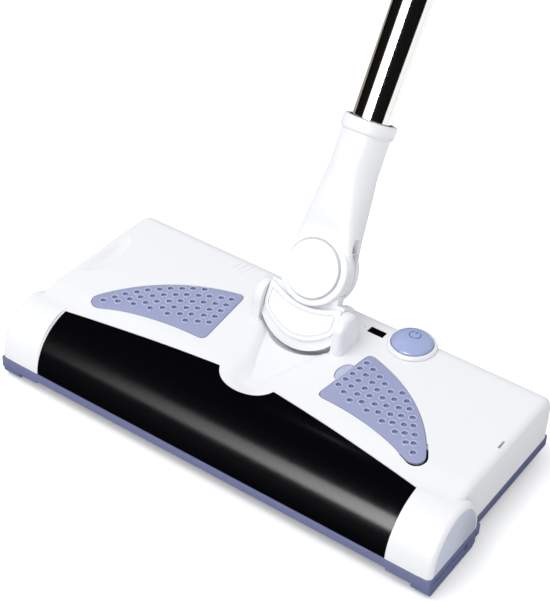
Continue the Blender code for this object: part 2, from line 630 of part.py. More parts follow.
def make_socket():
    levels = [0.0060, 0.0140, 0.0200, 0.0270, 0.0350, 0.0460, 0.0600, 0.0815]
    sides = 28
    bm = bmesh.new()
    loops = []
    for level in levels:
        half_width, half_depth = socket_section(min(level, 0.081))
        power = 2 + 3.5 * max(0.0, (0.055 - level) / 0.055)
        loop = []
        for k in range(sides):
            angle = 2 * math.pi * k / sides
            c, s = math.cos(angle), math.sin(angle)
            loop.append(bm.verts.new((half_width * math.copysign(abs(c) ** (2 / power), c),
                                      half_depth * math.copysign(abs(s) ** (2 / power), s), level)))
        loops.append(loop)
    for lower, upper in zip(loops, loops[1:]):
        for k in range(sides):
            j = (k + 1) % sides
            bm.faces.new((lower[k], lower[j], upper[j], upper[k]))
    bm.faces.new(loops[0][::-1])
    bm.faces.new(loops[-1])
    body = mesh_object("handle_socket", bm)
    disc = rod("ears", fork_radius, (0, -fork_face, 0), (0, fork_face, 0), 40, group=cutters)
    combine(body, disc, 'UNION')
    rim = turned("rim", [(0, 0.0805), (0.0150, 0.0805), (0.0154, 0.0815), (0.0154, 0.0872), (0.0148, 0.0880),
                         (0, 0.0880)], 32, 'Z', (0, 0, 0), cutters)
    combine(body, rim, 'UNION')
    slot = rod("slot", 0.0240, (0, -fork_gap, 0), (0, fork_gap, 0), 36, group=cutters)
    combine(slot, box("slot_below", (-0.03, -fork_gap, -0.03), (0.03, fork_gap, 0), cutters), 'UNION')
    combine(body, slot)
    combine(body, rod("mouth", 0.0130, (0, 0, 0.0800), (0, 0, 0.1), 32, group=cutters))
    combine(body, rod("bore", tube_radius + gap, (0, 0, 0.0400), (0, 0, 0.0900), 32, group=cutters))
    combine(body, rod("bolt_hole", 0.0033, (0, -0.02, 0), (0, 0.02, 0), 16, group=cutters))
    combine(body, rod("head_room", 0.0059, (0, -0.02, 0), (0, -0.0059, 0), 20, group=cutters))
    finish(body, white, swivel)
    lid = [(0, 0.0085), (0.0166, 0.0085), (0.0166, 0.0096), (0.0158, 0.0104), (0, 0.0106)]
    cap = turned("disc_cap", lid, 40, 'Y', (0, 0, 0))
    cap.data.transform(Matrix.Rotation(math.pi, 4, 'Z'))
    finish(cap, white, swivel)


def make_tubes():
    tubes = (("outer_tube", tube_radius, 0.0405, 0.4400), ("middle_tube", middle_radius, 0.0620, 0.4700),
             ("inner_tube", inner_radius, 0.0830, 0.6000))
    for name, radius, low, high in tubes:
        finish(ring(name, radius - tube_wall, radius, (0, 0, low), high - low, 'Z', 32), chromed, swivel)
    plugs = (("middle_plug", middle_radius, 0.0540, 0.0617), ("inner_plug", inner_radius, 0.0750, 0.0827))
    for name, radius, low, high in plugs:
        finish(ring(name, 0.0040, radius, (0, 0, low), high - low, 'Z', 24), grey, swivel)
    collars = (("lower_collar", tube_radius, middle_radius, 0.4290), ("upper_collar", middle_radius, inner_radius, 0.4590))
    for name, below, above, base in collars:
        step = base + 0.0113
        profile = [(below + gap, base), (0.0133, base), (0.0145, base + 0.004), (0.0145, base + 0.022),
                   (0.0130, base + 0.027), (above + gap, base + 0.027), (above + gap, step),
                   (below + gap, step)]
        finish(turned(name, profile, 28, 'Z', (0, 0, 0)), black, swivel)


def make_grip():
    base, end = 0.4890, handle_end - 0.012
    bumps = []
    for i in range(9):
        share = i / 8
        level = base + 0.004 + (end - base - 0.008) * share
        bumps.append((0.0150 + 0.0012 * math.sin(share * math.pi) - 0.0006 * (i % 2), level))
    profile = [(0.0095, base), (0.0135, base)] + bumps + [(0.0135, end), (0.0095, end)]
    grip = turned("grip", profile, 28, 'Z', (0, 0, 0))
    finish(grip, lavender, swivel)
    plug = [(0, end - 0.006), (0.0084, end - 0.006), (0.0084, end + gap), (0.0135, end + gap),
            (0.0125, end + 0.006), (0.0080, end + 0.0095), (0, end + 0.0105)]
    cap = turned("grip_cap", plug, 28, 'Z', (0, 0, 0))
    finish(cap, white, swivel)


def make_all():
    make_cover()
    make_window()
    make_base()
    make_base_details()
    make_wheels()
    make_roller()
    make_drive()
    make_power()
    make_button()
    make_pads()
    make_drawer()
    make_knuckle()
    make_pins()
    make_socket()
    make_tubes()
    make_grip()


def stand_on_origin():
    """Move the whole sweeper so that the origin is under the middle of its bounding box."""
    bpy.context.view_layer.update()
    reach = []
    for obj in parts.objects:
        if obj.type == 'MESH':
            reach += [(obj.matrix_world @ vertex.co).y for vertex in obj.data.vertices]
    sweeper.location.y = -(min(reach) + max(reach)) / 2


make_all()
stand_on_origin()
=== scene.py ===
import math
import bmesh
import bpy
from mathutils import Matrix, Vector


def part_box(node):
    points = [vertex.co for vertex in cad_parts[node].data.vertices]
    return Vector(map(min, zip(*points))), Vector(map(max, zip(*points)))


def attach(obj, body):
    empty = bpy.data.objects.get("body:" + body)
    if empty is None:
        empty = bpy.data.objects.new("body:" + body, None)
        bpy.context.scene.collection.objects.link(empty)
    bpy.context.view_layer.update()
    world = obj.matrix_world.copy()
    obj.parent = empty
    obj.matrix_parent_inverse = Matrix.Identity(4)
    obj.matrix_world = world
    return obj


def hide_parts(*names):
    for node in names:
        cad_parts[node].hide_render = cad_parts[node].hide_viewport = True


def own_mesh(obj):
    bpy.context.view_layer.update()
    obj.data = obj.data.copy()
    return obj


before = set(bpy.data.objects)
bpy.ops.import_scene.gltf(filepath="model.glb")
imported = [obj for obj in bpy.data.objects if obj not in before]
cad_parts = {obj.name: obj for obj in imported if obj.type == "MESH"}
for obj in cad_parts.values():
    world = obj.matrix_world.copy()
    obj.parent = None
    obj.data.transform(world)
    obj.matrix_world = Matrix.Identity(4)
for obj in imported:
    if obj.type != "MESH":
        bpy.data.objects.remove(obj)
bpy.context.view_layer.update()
mm = 0.001


# Shared helpers
def addNode(tree, kind, settings=None, links=None):
    node = tree.nodes.new(kind)
    for key, value in (settings or {}).items():
        if hasattr(node, key):
            setattr(node, key, value)
        else:
            node.inputs[key].default_value = value
    for key, source in (links or {}).items():
        tree.links.new(source, node.inputs[key])
    return node


def linearColour(hexText):
    channels = [int(hexText[i:i + 2], 16) / 255 for i in (1, 3, 5)]
    return tuple(c / 12.92 if c <= 0.04045 else ((c + 0.055) / 1.055) ** 2.4 for c in channels) + (1.0,)


def smoothStep(share):
    share = min(1.0, max(0.0, share))
    return share * share * (3 - 2 * share)


def arcPoints(centre, radius, start, end, count, tall=None):
    tall = radius if tall is None else tall
    angles = [math.radians(start + (end - start) * i / count) for i in range(count + 1)]
    return [(centre[0] + radius * math.cos(a), centre[1] + tall * math.sin(a)) for a in angles]


def at(*sizes):
    # sizes or places given in millimetres
    return tuple(size * mm for size in sizes)


def inMetres(points, lift=0.0):
    # outline points given in millimetres, raised by lift
    return [at(across, along + lift) for across, along in points]


def addPiece(name, data):
    piece = bpy.data.objects.new(name, data)
    bpy.context.scene.collection.objects.link(piece)
    return piece


def pieceFrom(name, bm, place=None):
    # a mesh object at the origin, with its place in its mesh
    bmesh.ops.recalc_face_normals(bm, faces=bm.faces)
    mesh = bpy.data.meshes.new(name)
    bm.to_mesh(mesh)
    bm.free()
    if place is not None:
        mesh.transform(place)
    return addPiece(name, mesh)


def evaluatedMesh(piece):
    bpy.context.view_layer.update()
    return bpy.data.meshes.new_from_object(piece.evaluated_get(bpy.context.evaluated_depsgraph_get()))


def bakeModifiers(piece):
    mesh = evaluatedMesh(piece)
    piece.modifiers.clear()
    piece.data = mesh
    return piece


def roundEdges(piece, width, segments=3, angle=40):
    bevel = piece.modifiers.new("round", 'BEVEL')
    bevel.width = width
    bevel.segments = segments
    bevel.limit_method = 'ANGLE'
    bevel.angle_limit = math.radians(angle)
    return bakeModifiers(piece)


def carve(piece, tools, operation='DIFFERENCE'):
    # one exact Boolean with a group of tools, which are then removed
    group = bpy.data.collections.new("tools")
    bpy.context.scene.collection.children.link(group)
    for tool in tools:
        group.objects.link(tool)
    cut = piece.modifiers.new("cut", 'BOOLEAN')
    cut.operation = operation
    cut.operand_type = 'COLLECTION'
    cut.collection = group
    cut.solver = 'EXACT'
    bakeModifiers(piece)
    for tool in tools:
        bpy.data.objects.remove(tool, do_unlink=True)
    bpy.data.collections.remove(group)
    return piece


def prismBetween(name, outline, low, high, axis='Z', place=None):
    # a flat outline pushed between two levels; X takes (y, z), Y takes (x, z), Z takes (x, y)
    def corner(u, v, level):
        return {'X': (level, u, v), 'Y': (u, level, v), 'Z': (u, v, level)}[axis]
    bm = bmesh.new()
    loops = [[bm.verts.new(corner(u, v, level)) for u, v in outline] for level in (low, high)]
    count = len(outline)
    for k in range(count):
        j = (k + 1) % count
        bm.faces.new((loops[0][k], loops[0][j], loops[1][j], loops[1][k]))
    bm.faces.new(loops[0])
    bm.faces.new(loops[1])
    return pieceFrom(name, bm, place)


def blockBetween(name, low, high):
    outline = [(low[0], low[1]), (high[0], low[1]), (high[0], high[1]), (low[0], high[1])]
    return prismBetween(name, outline, low[2], high[2])


def turnedPiece(name, profile, steps, place=None, axis='Z'):
    # (radius, height) pairs turned about an axis; radius 0 closes on a single point
    turn = {'Z': Matrix.Identity(4), 'X': Matrix.Rotation(math.pi / 2, 4, 'Y'),
            'Y': Matrix.Rotation(-math.pi / 2, 4, 'X')}[axis]
    bm = bmesh.new()
    rings = []
    for radius, height in profile:
        if radius == 0:
            rings.append([bm.verts.new((0, 0, height))])
            continue
        angles = [2 * math.pi * k / steps for k in range(steps)]
        rings.append([bm.verts.new((radius * math.cos(a), radius * math.sin(a), height)) for a in angles])
    pairs = list(zip(rings, rings[1:]))
    if len(rings[0]) > 1 and len(rings[-1]) > 1:
        pairs.append((rings[-1], rings[0]))
    for lower, upper in pairs:
        for k in range(steps):
            j = (k + 1) % steps
            corners = [lower[k % len(lower)], lower[j % len(lower)],
                       upper[j % len(upper)], upper[k % len(upper)]]
            bm.faces.new(list(dict.fromkeys(corners)))
    return pieceFrom(name, bm, (place or Matrix.Identity(4)) @ turn)


def rodBetween(name, radius, start, end, steps=48):
    start, end = Vector(start), Vector(end)
    turn = (end - start).to_track_quat('Z', 'Y').to_matrix().to_4x4()
    length = (end - start).length
    profile = [(0, 0), (radius, 0), (radius, length), (0, length)]
    return turnedPiece(name, profile, steps, Matrix.Translation(start) @ turn)


def loftThrough(name, loops):
    # closed rings of equal length joined in order, with a flat face at each end
    bm = bmesh.new()
    rings = [[bm.verts.new(point) for point in loop] for loop in loops]
    count = len(rings[0])
    for lower, upper in zip(rings, rings[1:]):
        for k in range(count):
            j = (k + 1) % count
            bm.faces.new((lower[k], lower[j], upper[j], upper[k]))
    bm.faces.new(rings[0])
    bm.faces.new(rings[-1])
    return pieceFrom(name, bm)


def copyOfNode(name, node):
    # the CAD mesh with its loose triangles merged, to be rounded and finished
    bm = bmesh.new()
    bm.from_mesh(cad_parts[node].data)
    bmesh.ops.remove_doubles(bm, verts=bm.verts, dist=2e-6)
    bmesh.ops.dissolve_limit(bm, angle_limit=math.radians(1), verts=bm.verts, edges=bm.edges)
    mesh = bpy.data.meshes.new(name)
    bm.to_mesh(mesh)
    bm.free()
    return addPiece(name, mesh)


def finishPiece(piece, finish, body, nodes=(), angle=35):
    piece.data.materials.clear()
    piece.data.materials.append(finishes[finish])
    piece.data.polygons.foreach_set("material_index", [0] * len(piece.data.polygons))
    piece.data.shade_smooth()
    piece.data.set_sharp_from_angle(angle=math.radians(angle))
    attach(piece, body)
    if nodes:
        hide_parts(*nodes)
    return piece


# Materials
def newMaterial(name):
    material = bpy.data.materials.new(name)
    material.use_nodes = True
    return material, material.node_tree, material.node_tree.nodes["Principled BSDF"]


def setInputs(node, values):
    for key, value in values.items():
        node.inputs[key].default_value = value


def mouldedPlastic(name, colour, flowColour, flowSize, grainSize, roughness, relief, extra=None):
    # injection-moulded shell: a fine spark-eroded grain, faint flow marks and a soft sheen
    material, tree, shader = newMaterial(name)
    place = addNode(tree, "ShaderNodeTexCoord").outputs["Object"]
    flow = addNode(tree, "ShaderNodeTexNoise", {"Scale": 1 / (flowSize * mm), "Detail": 3.0},
                   {"Vector": place})
    grain = addNode(tree, "ShaderNodeTexNoise", {"Scale": 1 / (grainSize * mm), "Detail": 2.0},
                    {"Vector": place})
    tint = addNode(tree, "ShaderNodeMix", {"data_type": 'RGBA'}, {"Factor": flow.outputs["Fac"]})
    setInputs(tint, {6: linearColour(colour), 7: linearColour(flowColour)})
    rough = addNode(tree, "ShaderNodeMapRange", {"To Min": roughness - 0.04, "To Max": roughness + 0.05},
                    {"Value": grain.outputs["Fac"]})
    bump = addNode(tree, "ShaderNodeBump", {"Strength": relief, "Distance": 0.1 * mm},
                   {"Height": grain.outputs["Fac"]})
    tree.links.new(tint.outputs[2], shader.inputs["Base Color"])
    tree.links.new(rough.outputs["Result"], shader.inputs["Roughness"])
    tree.links.new(bump.outputs["Normal"], shader.inputs["Normal"])
    setInputs(shader, {"IOR": 1.53, "Coat Roughness": 0.08})
    setInputs(shader, extra or {})
    return material


def drawnMetal(name, colour, roughness, lineSize, stretch, lean, relief):
    # drawn tube or wire: fine lines along its length, nearly a mirror where it is plated
    material, tree, shader = newMaterial(name)
    place = addNode(tree, "ShaderNodeTexCoord").outputs["Object"]
    turn = addNode(tree, "ShaderNodeMapping", {"Rotation": (lean, 0, 0), "Scale": (1, 1, stretch)},
                   {"Vector": place})
    lines = addNode(tree, "ShaderNodeTexNoise", {"Scale": 1 / (lineSize * mm), "Detail": 4.0},
                    {"Vector": turn.outputs["Vector"]})
    rough = addNode(tree, "ShaderNodeMapRange", {"To Min": roughness * 0.6, "To Max": roughness * 1.5},
                    {"Value": lines.outputs["Fac"]})
    bump = addNode(tree, "ShaderNodeBump", {"Strength": relief, "Distance": 0.02 * mm},
                   {"Height": lines.outputs["Fac"]})
    tree.links.new(rough.outputs["Result"], shader.inputs["Roughness"])
    tree.links.new(bump.outputs["Normal"], shader.inputs["Normal"])
    setInputs(shader, {"Base Color": linearColour(colour), "Metallic": 1.0})
    return material


handleLean = math.radians(29.2)
# Moulded finishes: colour, colour of the flow marks, size of the flow marks and of the grain in mm,
# roughness and relief of the surface, and what else the shader needs
moulded = {
    "whiteAbs": ("#eef0f3", "#ecedf1", 60, 0.9, 0.42, 0.02),
    # the end panels' darker blue-grey is painted shade of the white ends
    "endPanelPaintedShade": ("#cfd5e3", "#c9cfdf", 40, 0.9, 0.3, 0.03),
    "lavenderAbs": ("#747aa2", "#6f759c", 45, 1.0, 0.36, 0.12),
    "padSoftTouch": ("#9da4c8", "#979ec3", 30, 0.7, 0.5, 0.2),
    # lighter lavender of the lid tab; also put on the pad dimples' rims, where it is a painted highlight
    "tabLavenderAndRimHighlight": ("#bcc2da", "#b5bbd6", 12, 0.7, 0.5, 0.1),
    "buttonGloss": ("#a8b4dc", "#a1aed8", 12, 0.8, 0.22, 0.04, {"Coat Weight": 0.4}),
    "symbolPrint": ("#66729f", "#5f6b99", 5, 0.5, 0.4, 0.05),
    "smokedAcrylic": ("#060509", "#040306", 80, 2.5, 0.2, 0.01, {"IOR": 1.49}),
    "blackNylon": ("#1c1d20", "#242529", 20, 0.8, 0.45, 0.2),
    "greyNylon": ("#8b8e96", "#82858e", 20, 0.8, 0.42, 0.15),
    "gripFoam": ("#8a91b8", "#7e85ad", 6, 0.45, 0.82, 0.8),
    "tyreRubber": ("#2a2a2c", "#343437", 8, 0.6, 0.75, 0.5),
    "brushNylon": ("#5f688f", "#3e4667", 4, 0.8, 0.5, 0.1),
    "cellWrap": ("#2f6fb0", "#2a659f", 25, 1.5, 0.3, 0.05),
    "boardEpoxy": ("#1f6b3a", "#2c7f49", 3, 0.6, 0.4, 0.2),
    "lampLens": ("#b3261d", "#c93a2d", 4, 1.0, 0.15, 0.02),
    "leadPvc": ("#a02420", "#8d1f1c", 5, 0.7, 0.4, 0.1),
}
finishes = {name: mouldedPlastic(name, *look) for name, look in moulded.items()}
finishes["chromePlate"] = drawnMetal("chromePlate", "#e6e4e2", 0.085, 0.7, 0.02, handleLean, 0.03)
finishes["brightSteel"] = drawnMetal("brightSteel", "#b9babd", 0.26, 0.6, 0.1, 0.0, 0.1)
print("materials made:", len(finishes))


# The head's frame: y from its front edge, z from the floor, x to its right
coverLow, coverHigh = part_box("top_cover")
headPlace = Matrix.Translation((0, coverLow.y, 0))
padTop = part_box("grip_pad_left")[1].z
cover = {
    "rollRadius": 30, "rearRound": 12, "rimRound": 4, "endRound": 3, "wall": 2.6, "flatStart": 46,
    "humpCentre": 25, "humpHalf": 25, "humpTall": 30.5, "windowHalf": 117.5, "windowCorner": 26.5,
    "lobeCentre": 45.5, "lobeWide": 19, "lobeDeep": 15, "valleyStart": 31, "valleyEnd": 88, "valleyDepth": 15,
    "tiltY": 97, "tiltZ": 59, "earInner": 24.5, "earOuter": 31, "earRadius": 8.8, "pocketRadius": 27.6,
    "pocketDisc": 31, "pocketRise": 7.8, "pocketThick": 9, "pocketRoom": 1.1, "pocketRear": 108.5,
    "padDepth": 1.8, "panelDeep": 0.7,
}
cover = {name: size * mm for name, size in cover.items()}
cover.update({"frontHalf": coverHigh.x, "rearHalf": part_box("base_frame")[1].x - 3.8 * mm,
              "depth": coverHigh.y - coverLow.y, "low": coverLow.z, "top": padTop - 0.3 * mm,
              "scoop": at(-136.4, 82, 12.6, 21.5, 3.2)})


def valleyDrop(x, y):
    # the smooth hollow from the window's lobe back to the neck, deepest at the neck
    along = (y - cover["valleyStart"]) / (cover["valleyEnd"] - cover["valleyStart"])
    if along <= 0:
        return 0.0
    along = min(along, 1.0)
    rise = smoothStep(along * 5)
    deep = cover["valleyDepth"] * (0.30 * rise + 0.70 * along)
    shoulder = (15 + 20 * math.sqrt(along)) * mm
    inner = (1 + 16 * along) * mm
    steep = 1 - smoothStep((abs(x) - max(0.0, inner - 8 * mm)) / (14 * mm))
    gentle = 1 - smoothStep(abs(x) / shoulder)
    fade = 1 - smoothStep((y - cover["pocketRear"]) / (6 * mm))
    return deep * (0.66 * steep + 0.34 * gentle) * fade


def scoopDrop(x, y):
    centreX, centreY, wide, tall, deep = cover["scoop"]
    inside = 1 - ((x - centreX) / wide) ** 2 - ((y - centreY) / tall) ** 2
    rim = 1 - smoothStep((abs(x) - 131.5 * mm) / (5.5 * mm))
    return deep * rim * inside ** 0.55 if inside > 0 else 0.0


def coverSide(inset, low):
    # side view: quarter round front, gentle rise, flat top, rounded rear edge, straight wall
    radius = cover["rollRadius"] - inset
    top = cover["top"] - inset
    rear = cover["depth"] - inset
    rearRound = cover["rearRound"] - inset * 0.5
    points = [(inset, low)] + arcPoints((cover["rollRadius"], cover["low"]), radius, 179.5, 90, 36)
    crest = cover["low"] + radius
    for i in range(1, 17):
        y = cover["rollRadius"] + (cover["flatStart"] - cover["rollRadius"]) * i / 16
        points.append((y, crest + (top - crest) * smoothStep(i / 16)))
    flatEnd = rear - rearRound
    for i in range(1, 76):
        points.append((cover["flatStart"] + (flatEnd - cover["flatStart"]) * i / 75, top))
    points += arcPoints((flatEnd, top - rearRound), rearRound, 90, 0, 12)[1:]
    return points + [(rear, low)]


def humpSide(inset, low):
    arch = arcPoints((cover["humpCentre"], cover["low"]), cover["humpHalf"] - inset, 179.5, 0.5, 56,
                     cover["humpTall"] - inset)
    return [(inset, low)] + arch + [(cover["humpCentre"] + cover["humpHalf"] - inset, low)]


def roundedEnd(half, radius, inset):
    # stations near a rounded end: (x, extra inset)
    turn = [math.radians(90 * i / 8) for i in range(9)]
    return [(half - inset - radius + radius * math.sin(a), radius * (1 - math.cos(a))) for a in turn]


def coverSolid(name, inset, low):
    end = roundedEnd(cover["rearHalf"], cover["rimRound"], inset)
    inside = [i * mm for i in range(-38, 39)]
    scoopSide = [-(120.6 + 0.9 * i) * mm for i in range(18)]
    plain = [s * (38 + 6 * i) * mm for s in (-1, 1) for i in range(1, 16)]
    plain = [x for x in plain if x > min(inside) - 80 * mm and abs(x) < 128 * mm]
    stations = [(x, 0.0) for x in inside + scoopSide + plain]
    stations += end + [(-x, extra) for x, extra in end]
    loops = []
    for x, extra in sorted(stations):
        loop = []
        for y, z in coverSide(inset + extra, low):
            if z > cover["low"] + 20 * mm:
                z -= valleyDrop(x, y) + scoopDrop(x, y)
            loop.append((x, y, z))
        loops.append(loop)
    return loftThrough(name, loops)


def humpSolid(name, inset, low, side):
    stations = [(118.2 * mm + inset, 0.0)] + roundedEnd(cover["frontHalf"], cover["endRound"], inset)
    loops = [[(side * x, y, z) for y, z in humpSide(inset + extra, low)] for x, extra in stations]
    return loftThrough(name, loops)


def windowPlan(inset):
    half = cover["windowHalf"] - inset
    corner = cover["windowCorner"] - inset
    lobe = [(x, y - inset) for x, y in arcPoints((0, cover["lobeCentre"]), cover["lobeWide"], 198, 342, 32,
                                                 cover["lobeDeep"])]
    edge = lobe[-1]
    right = []
    for i in range(1, 24):
        share = i / 24
        sag = 1.3 * mm * math.sin(math.pi * share)
        right.append((edge[0] + (half - edge[0]) * share, edge[1] + (corner - edge[1]) * share + sag))
    left = [(-x, y) for x, y in right]
    front = [(-half, -10 * mm), (half, -10 * mm), (half, corner)]
    return front + right[::-1] + lobe[::-1] + left + [(-half, corner)]


def softOutline(corners, steps=8):
    # corners are (x, y, rounding, bulge towards the left of the way to the next corner)
    count = len(corners)
    points = []
    for i in range(count):
        x0, y0, round0, bulge = corners[i]
        x1, y1, round1, _ = corners[(i + 1) % count]
        start, end = Vector((x0, y0)), Vector((x1, y1))
        along = (end - start)
        length = along.length
        along.normalize()
        across = Vector((-along.y, along.x))

        def onEdge(share):
            return start + along * length * share + across * bulge * 4 * share * (1 - share)
        first, last = round0 / length, 1 - round1 / length
        edge = [onEdge(first + (last - first) * k / 20) for k in range(21)]
        nextBulge = corners[(i + 1) % count][3]
        x2, y2 = corners[(i + 2) % count][:2]
        onward = Vector((x2, y2)) - end
        share = round1 / onward.length
        nextAcross = Vector((-onward.y, onward.x)).normalized()
        entry = end + onward * share + nextAcross * nextBulge * 4 * share * (1 - share)
        turn = [edge[-1].lerp(end, t / steps).lerp(end.lerp(entry, t / steps), t / steps)
                for t in range(1, steps)]
        points += [tuple(p) for p in edge + turn]
    return points


def padPlan(side, inset=0.0):
    # fan-shaped pad: straight by the neck, arched behind, hollow in front, round at its tip
    arch = (10.2 if side > 0 else 11.2) * mm
    corners = [(38.2 * mm + inset, 52.2 * mm + inset, 5 * mm, 0.0),
               (43.0 * mm + inset, 99.2 * mm - inset * 1.6, 4.5 * mm, arch),
               (112.6 * mm - inset * 1.3, 43.5 * mm, 4.2 * mm, 0.6 * mm),
               (106.0 * mm - inset * 1.3, 37.5 * mm + inset, 4.2 * mm, -4.3 * mm)]
    return [(side * x, y) for x, y in softOutline(corners)]


def tabPlan(inset):
    # the half-round finger tab on the lid's straight edge, running a little under the pad
    half, rise = 8.0 * mm - inset, 4.7 * mm - inset
    bow = [(40.3 * mm - rise * math.sin(math.pi * k / 24), 77.4 * mm - half * math.cos(math.pi * k / 24))
           for k in range(25)]
    return [(42.6 * mm, 77.4 * mm - half)] + bow + [(42.6 * mm, 77.4 * mm + half)]


def insideOutline(point, outline, margin):
    x, y = point
    inside = False
    for (x0, y0), (x1, y1) in zip(outline, outline[1:] + outline[:1]):
        if math.hypot(x - x0, y - y0) < margin:
            return False
        if (y0 > y) != (y1 > y) and x < x0 + (x1 - x0) * (y - y0) / (y1 - y0):
            inside = not inside
    return inside


def endPanelPlan(inset):
    arch = humpSide(cover["endRound"] + 0.4 * mm + inset, cover["low"] + inset)
    return [(y, z) for y, z in arch if z >= cover["low"] + inset]


def makeEndPanels():
    # flush D-shaped inlays in the ends of the front section; their darker blue-grey than the white cover is
    # painted shade
    for side, name in ((-1, "endPanelLeft"), (1, "endPanelRight")):
        face = cover["frontHalf"] - 0.12 * mm
        inner, outer = sorted((side * (cover["frontHalf"] - cover["panelDeep"] + 0.05 * mm), side * face))
        panel = prismBetween(name, endPanelPlan(0.12 * mm), inner, outer, 'X', headPlace)
        roundEdges(panel, 0.15 * mm, 2, 60)
        finishPiece(panel, "endPanelPaintedShade", "head")


def pocketTool():
    # room for the knuckle as it tilts: a barrel about the tilt axis, narrower towards the ears
    half = cover["earInner"]
    profile = [(0, -half)]
    for i in range(33):
        x = -half + 2 * half * i / 32
        below = math.sqrt(cover["pocketDisc"] ** 2 - x * x) - cover["pocketRise"]
        profile.append((math.hypot(below, cover["pocketThick"]) + cover["pocketRoom"], x))
    profile.append((0, half))
    barrel = turnedPiece("pocket", profile, 128, Matrix.Translation((0, cover["tiltY"], cover["tiltZ"])), 'X')
    return carve(barrel, [blockBetween("rearWall", (-40 * mm, cover["pocketRear"], 0.0),
                                       at(40, 200, 200))])


def makeCover():
    low = cover["low"]
    body = coverSolid("sweeperCover", 0.0, low)
    humps = [humpSolid("hump", 0.15 * mm, low + 0.02 * mm, side) for side in (-1, 1)]
    boss = [at(40, 37.5), at(60, 30), at(75, 28)]
    boss += arcPoints((cover["tiltY"], cover["tiltZ"]), cover["pocketRadius"] + 2.5 * mm, 250, 298, 16)
    boss += [at(111, 43), at(40, 38)]
    hollow = coverSolid("hollow", cover["wall"], low - 3 * mm)
    hollowHumps = [humpSolid("hollowHump", cover["wall"], low - 3.5 * mm, side) for side in (-1, 1)]
    carve(body, humps, 'UNION')
    carve(body, [hollow] + hollowHumps)
    ears = []
    for side in (-1, 1):
        inner, outer = sorted((side * (cover["earInner"] - 2 * mm), side * cover["earOuter"]))
        lug = [(cover["tiltY"] + cover["earRadius"] + 1.5 * mm, 42 * mm)]
        lug += arcPoints((cover["tiltY"] - 0.5 * mm, cover["tiltZ"] - 1 * mm),
                         cover["earRadius"] + 0.8 * mm, 0, 180, 28)
        lug += [(cover["tiltY"] - cover["earRadius"] - 3 * mm, 42 * mm)]
        ears.append(roundEdges(prismBetween("ear", lug, inner, outer, 'X'), 3.1 * mm, 6))
    carve(body, ears + [prismBetween("boss", boss, -28 * mm, 28 * mm, 'X')], 'UNION')
    tools = [pocketTool(), prismBetween("windowHole", windowPlan(0.0), 0.0, 60 * mm),
             rodBetween("pinHole", 3.3 * mm, (-30.85 * mm, cover["tiltY"], cover["tiltZ"]),
                        (30.85 * mm, cover["tiltY"], cover["tiltZ"])),
             rodBetween("seat", 13.5 * mm, at(57.5, 120.5, 38), at(57.5, 120.5, 60), 72),
             blockBetween("lensHole", at(30.3, 115.6, 38), at(40.7, 121, 60)),
             rodBetween("lampDot", 0.5 * mm, at(27.3, 118.6, 38), at(27.3, 118.6, 60), 16),
             blockBetween("drawerHole", at(-150, 55.5, 0), at(-125, 108, 29)),
             blockBetween("edgeSlot", at(136.7, 76, 41.5), at(137.9, 82.6, 60)),
             rodBetween("inlet", 4.3 * mm, at(-30, 120, 26), at(-30, 150, 26)),
             prismBetween("lidHole", padPlan(1, 4 * mm), 36 * mm, 60 * mm)]
    tip = prismBetween("tipRecess", padPlan(1, -1.0 * mm), cover["top"] - cover["padDepth"], 60 * mm)
    carve(tip, [blockBetween("tipOnly", at(98, 30, 30), at(120, 56, 70))], 'INTERSECT')
    tools += [tip, blockBetween("tipRoom", at(96.5, 36.6, 36),
                                (113.8 * mm, 54 * mm, cover["top"] - cover["padDepth"] + 0.05 * mm))]
    tools.append(prismBetween("tabRoom", tabPlan(-0.25 * mm),
                              cover["top"] - cover["padDepth"] + 0.05 * mm, 60 * mm))
    for side in (-1, 1):
        inner, outer = sorted((side * (cover["frontHalf"] - cover["panelDeep"]), side * 160 * mm))
        tools.append(prismBetween("panelRoom", endPanelPlan(0.0), inner, outer, 'X'))
        tools.append(prismBetween("recess", padPlan(side, -0.3 * mm), cover["top"] - cover["padDepth"],
                                  60 * mm))
    carve(body, tools)
    body.data.transform(headPlace)
    return finishPiece(body, "whiteAbs", "head", ["top_cover"], 30)


makeCover()
makeEndPanels()
print("cover made")


def makeWindow():
    # smoked window rolled over the brush, closed by the cover's lobe
    low = cover["low"] + 0.2 * mm
    outer = [p for p in coverSide(0.1 * mm, low) if p[0] < 50 * mm]
    inner = [p for p in coverSide(2.1 * mm, low) if p[0] < 50 * mm]
    half = 119 * mm
    shell = prismBetween("rollerWindow", outer + inner[::-1], -half, half, 'X')
    plan = prismBetween("plan", windowPlan(0.25 * mm), 0.0, 60 * mm)
    carve(shell, [plan], 'INTERSECT')
    shell.data.transform(headPlace)
    return finishPiece(shell, "smokedAcrylic", "head", ["brush_window"])


makeWindow()
print("window made")

dimples = {"rows": 12, "radius": 1.7 * mm, "depth": 1.5 * mm, "ringRadius": 2.05 * mm, "rimWide": 0.38 * mm,
           "margin": 2.6 * mm, "start": 42.7 * mm, "leftShift": 1.4 * mm}


def dimplePoints(side, outline):
    # staggered rows beside the neck edge, closer together and starting lower towards the tip
    points = []
    x = dimples["start"] + (dimples["leftShift"] if side < 0 else 0.0)
    for row in range(-1, dimples["rows"]):
        pitch = (6.4 + 0.17 * row) * mm
        y = (63.2 - 0.25 * row - 0.092 * row * row) * mm - (pitch / 2 if row % 2 else 0.0)
        for k in range(max(0, -row), 7):
            spot = (side * (x + 0.1 * k * pitch), y + k * pitch)
            if insideOutline(spot, outline, dimples["margin"]):
                points.append(spot)
        x += (6.15 - 0.13 * row - 0.015 * row * row) * mm
    return points


def pointsPiece(name, points):
    mesh = bpy.data.meshes.new(name)
    mesh.from_pydata(points, [], [])
    return addPiece(name, mesh)


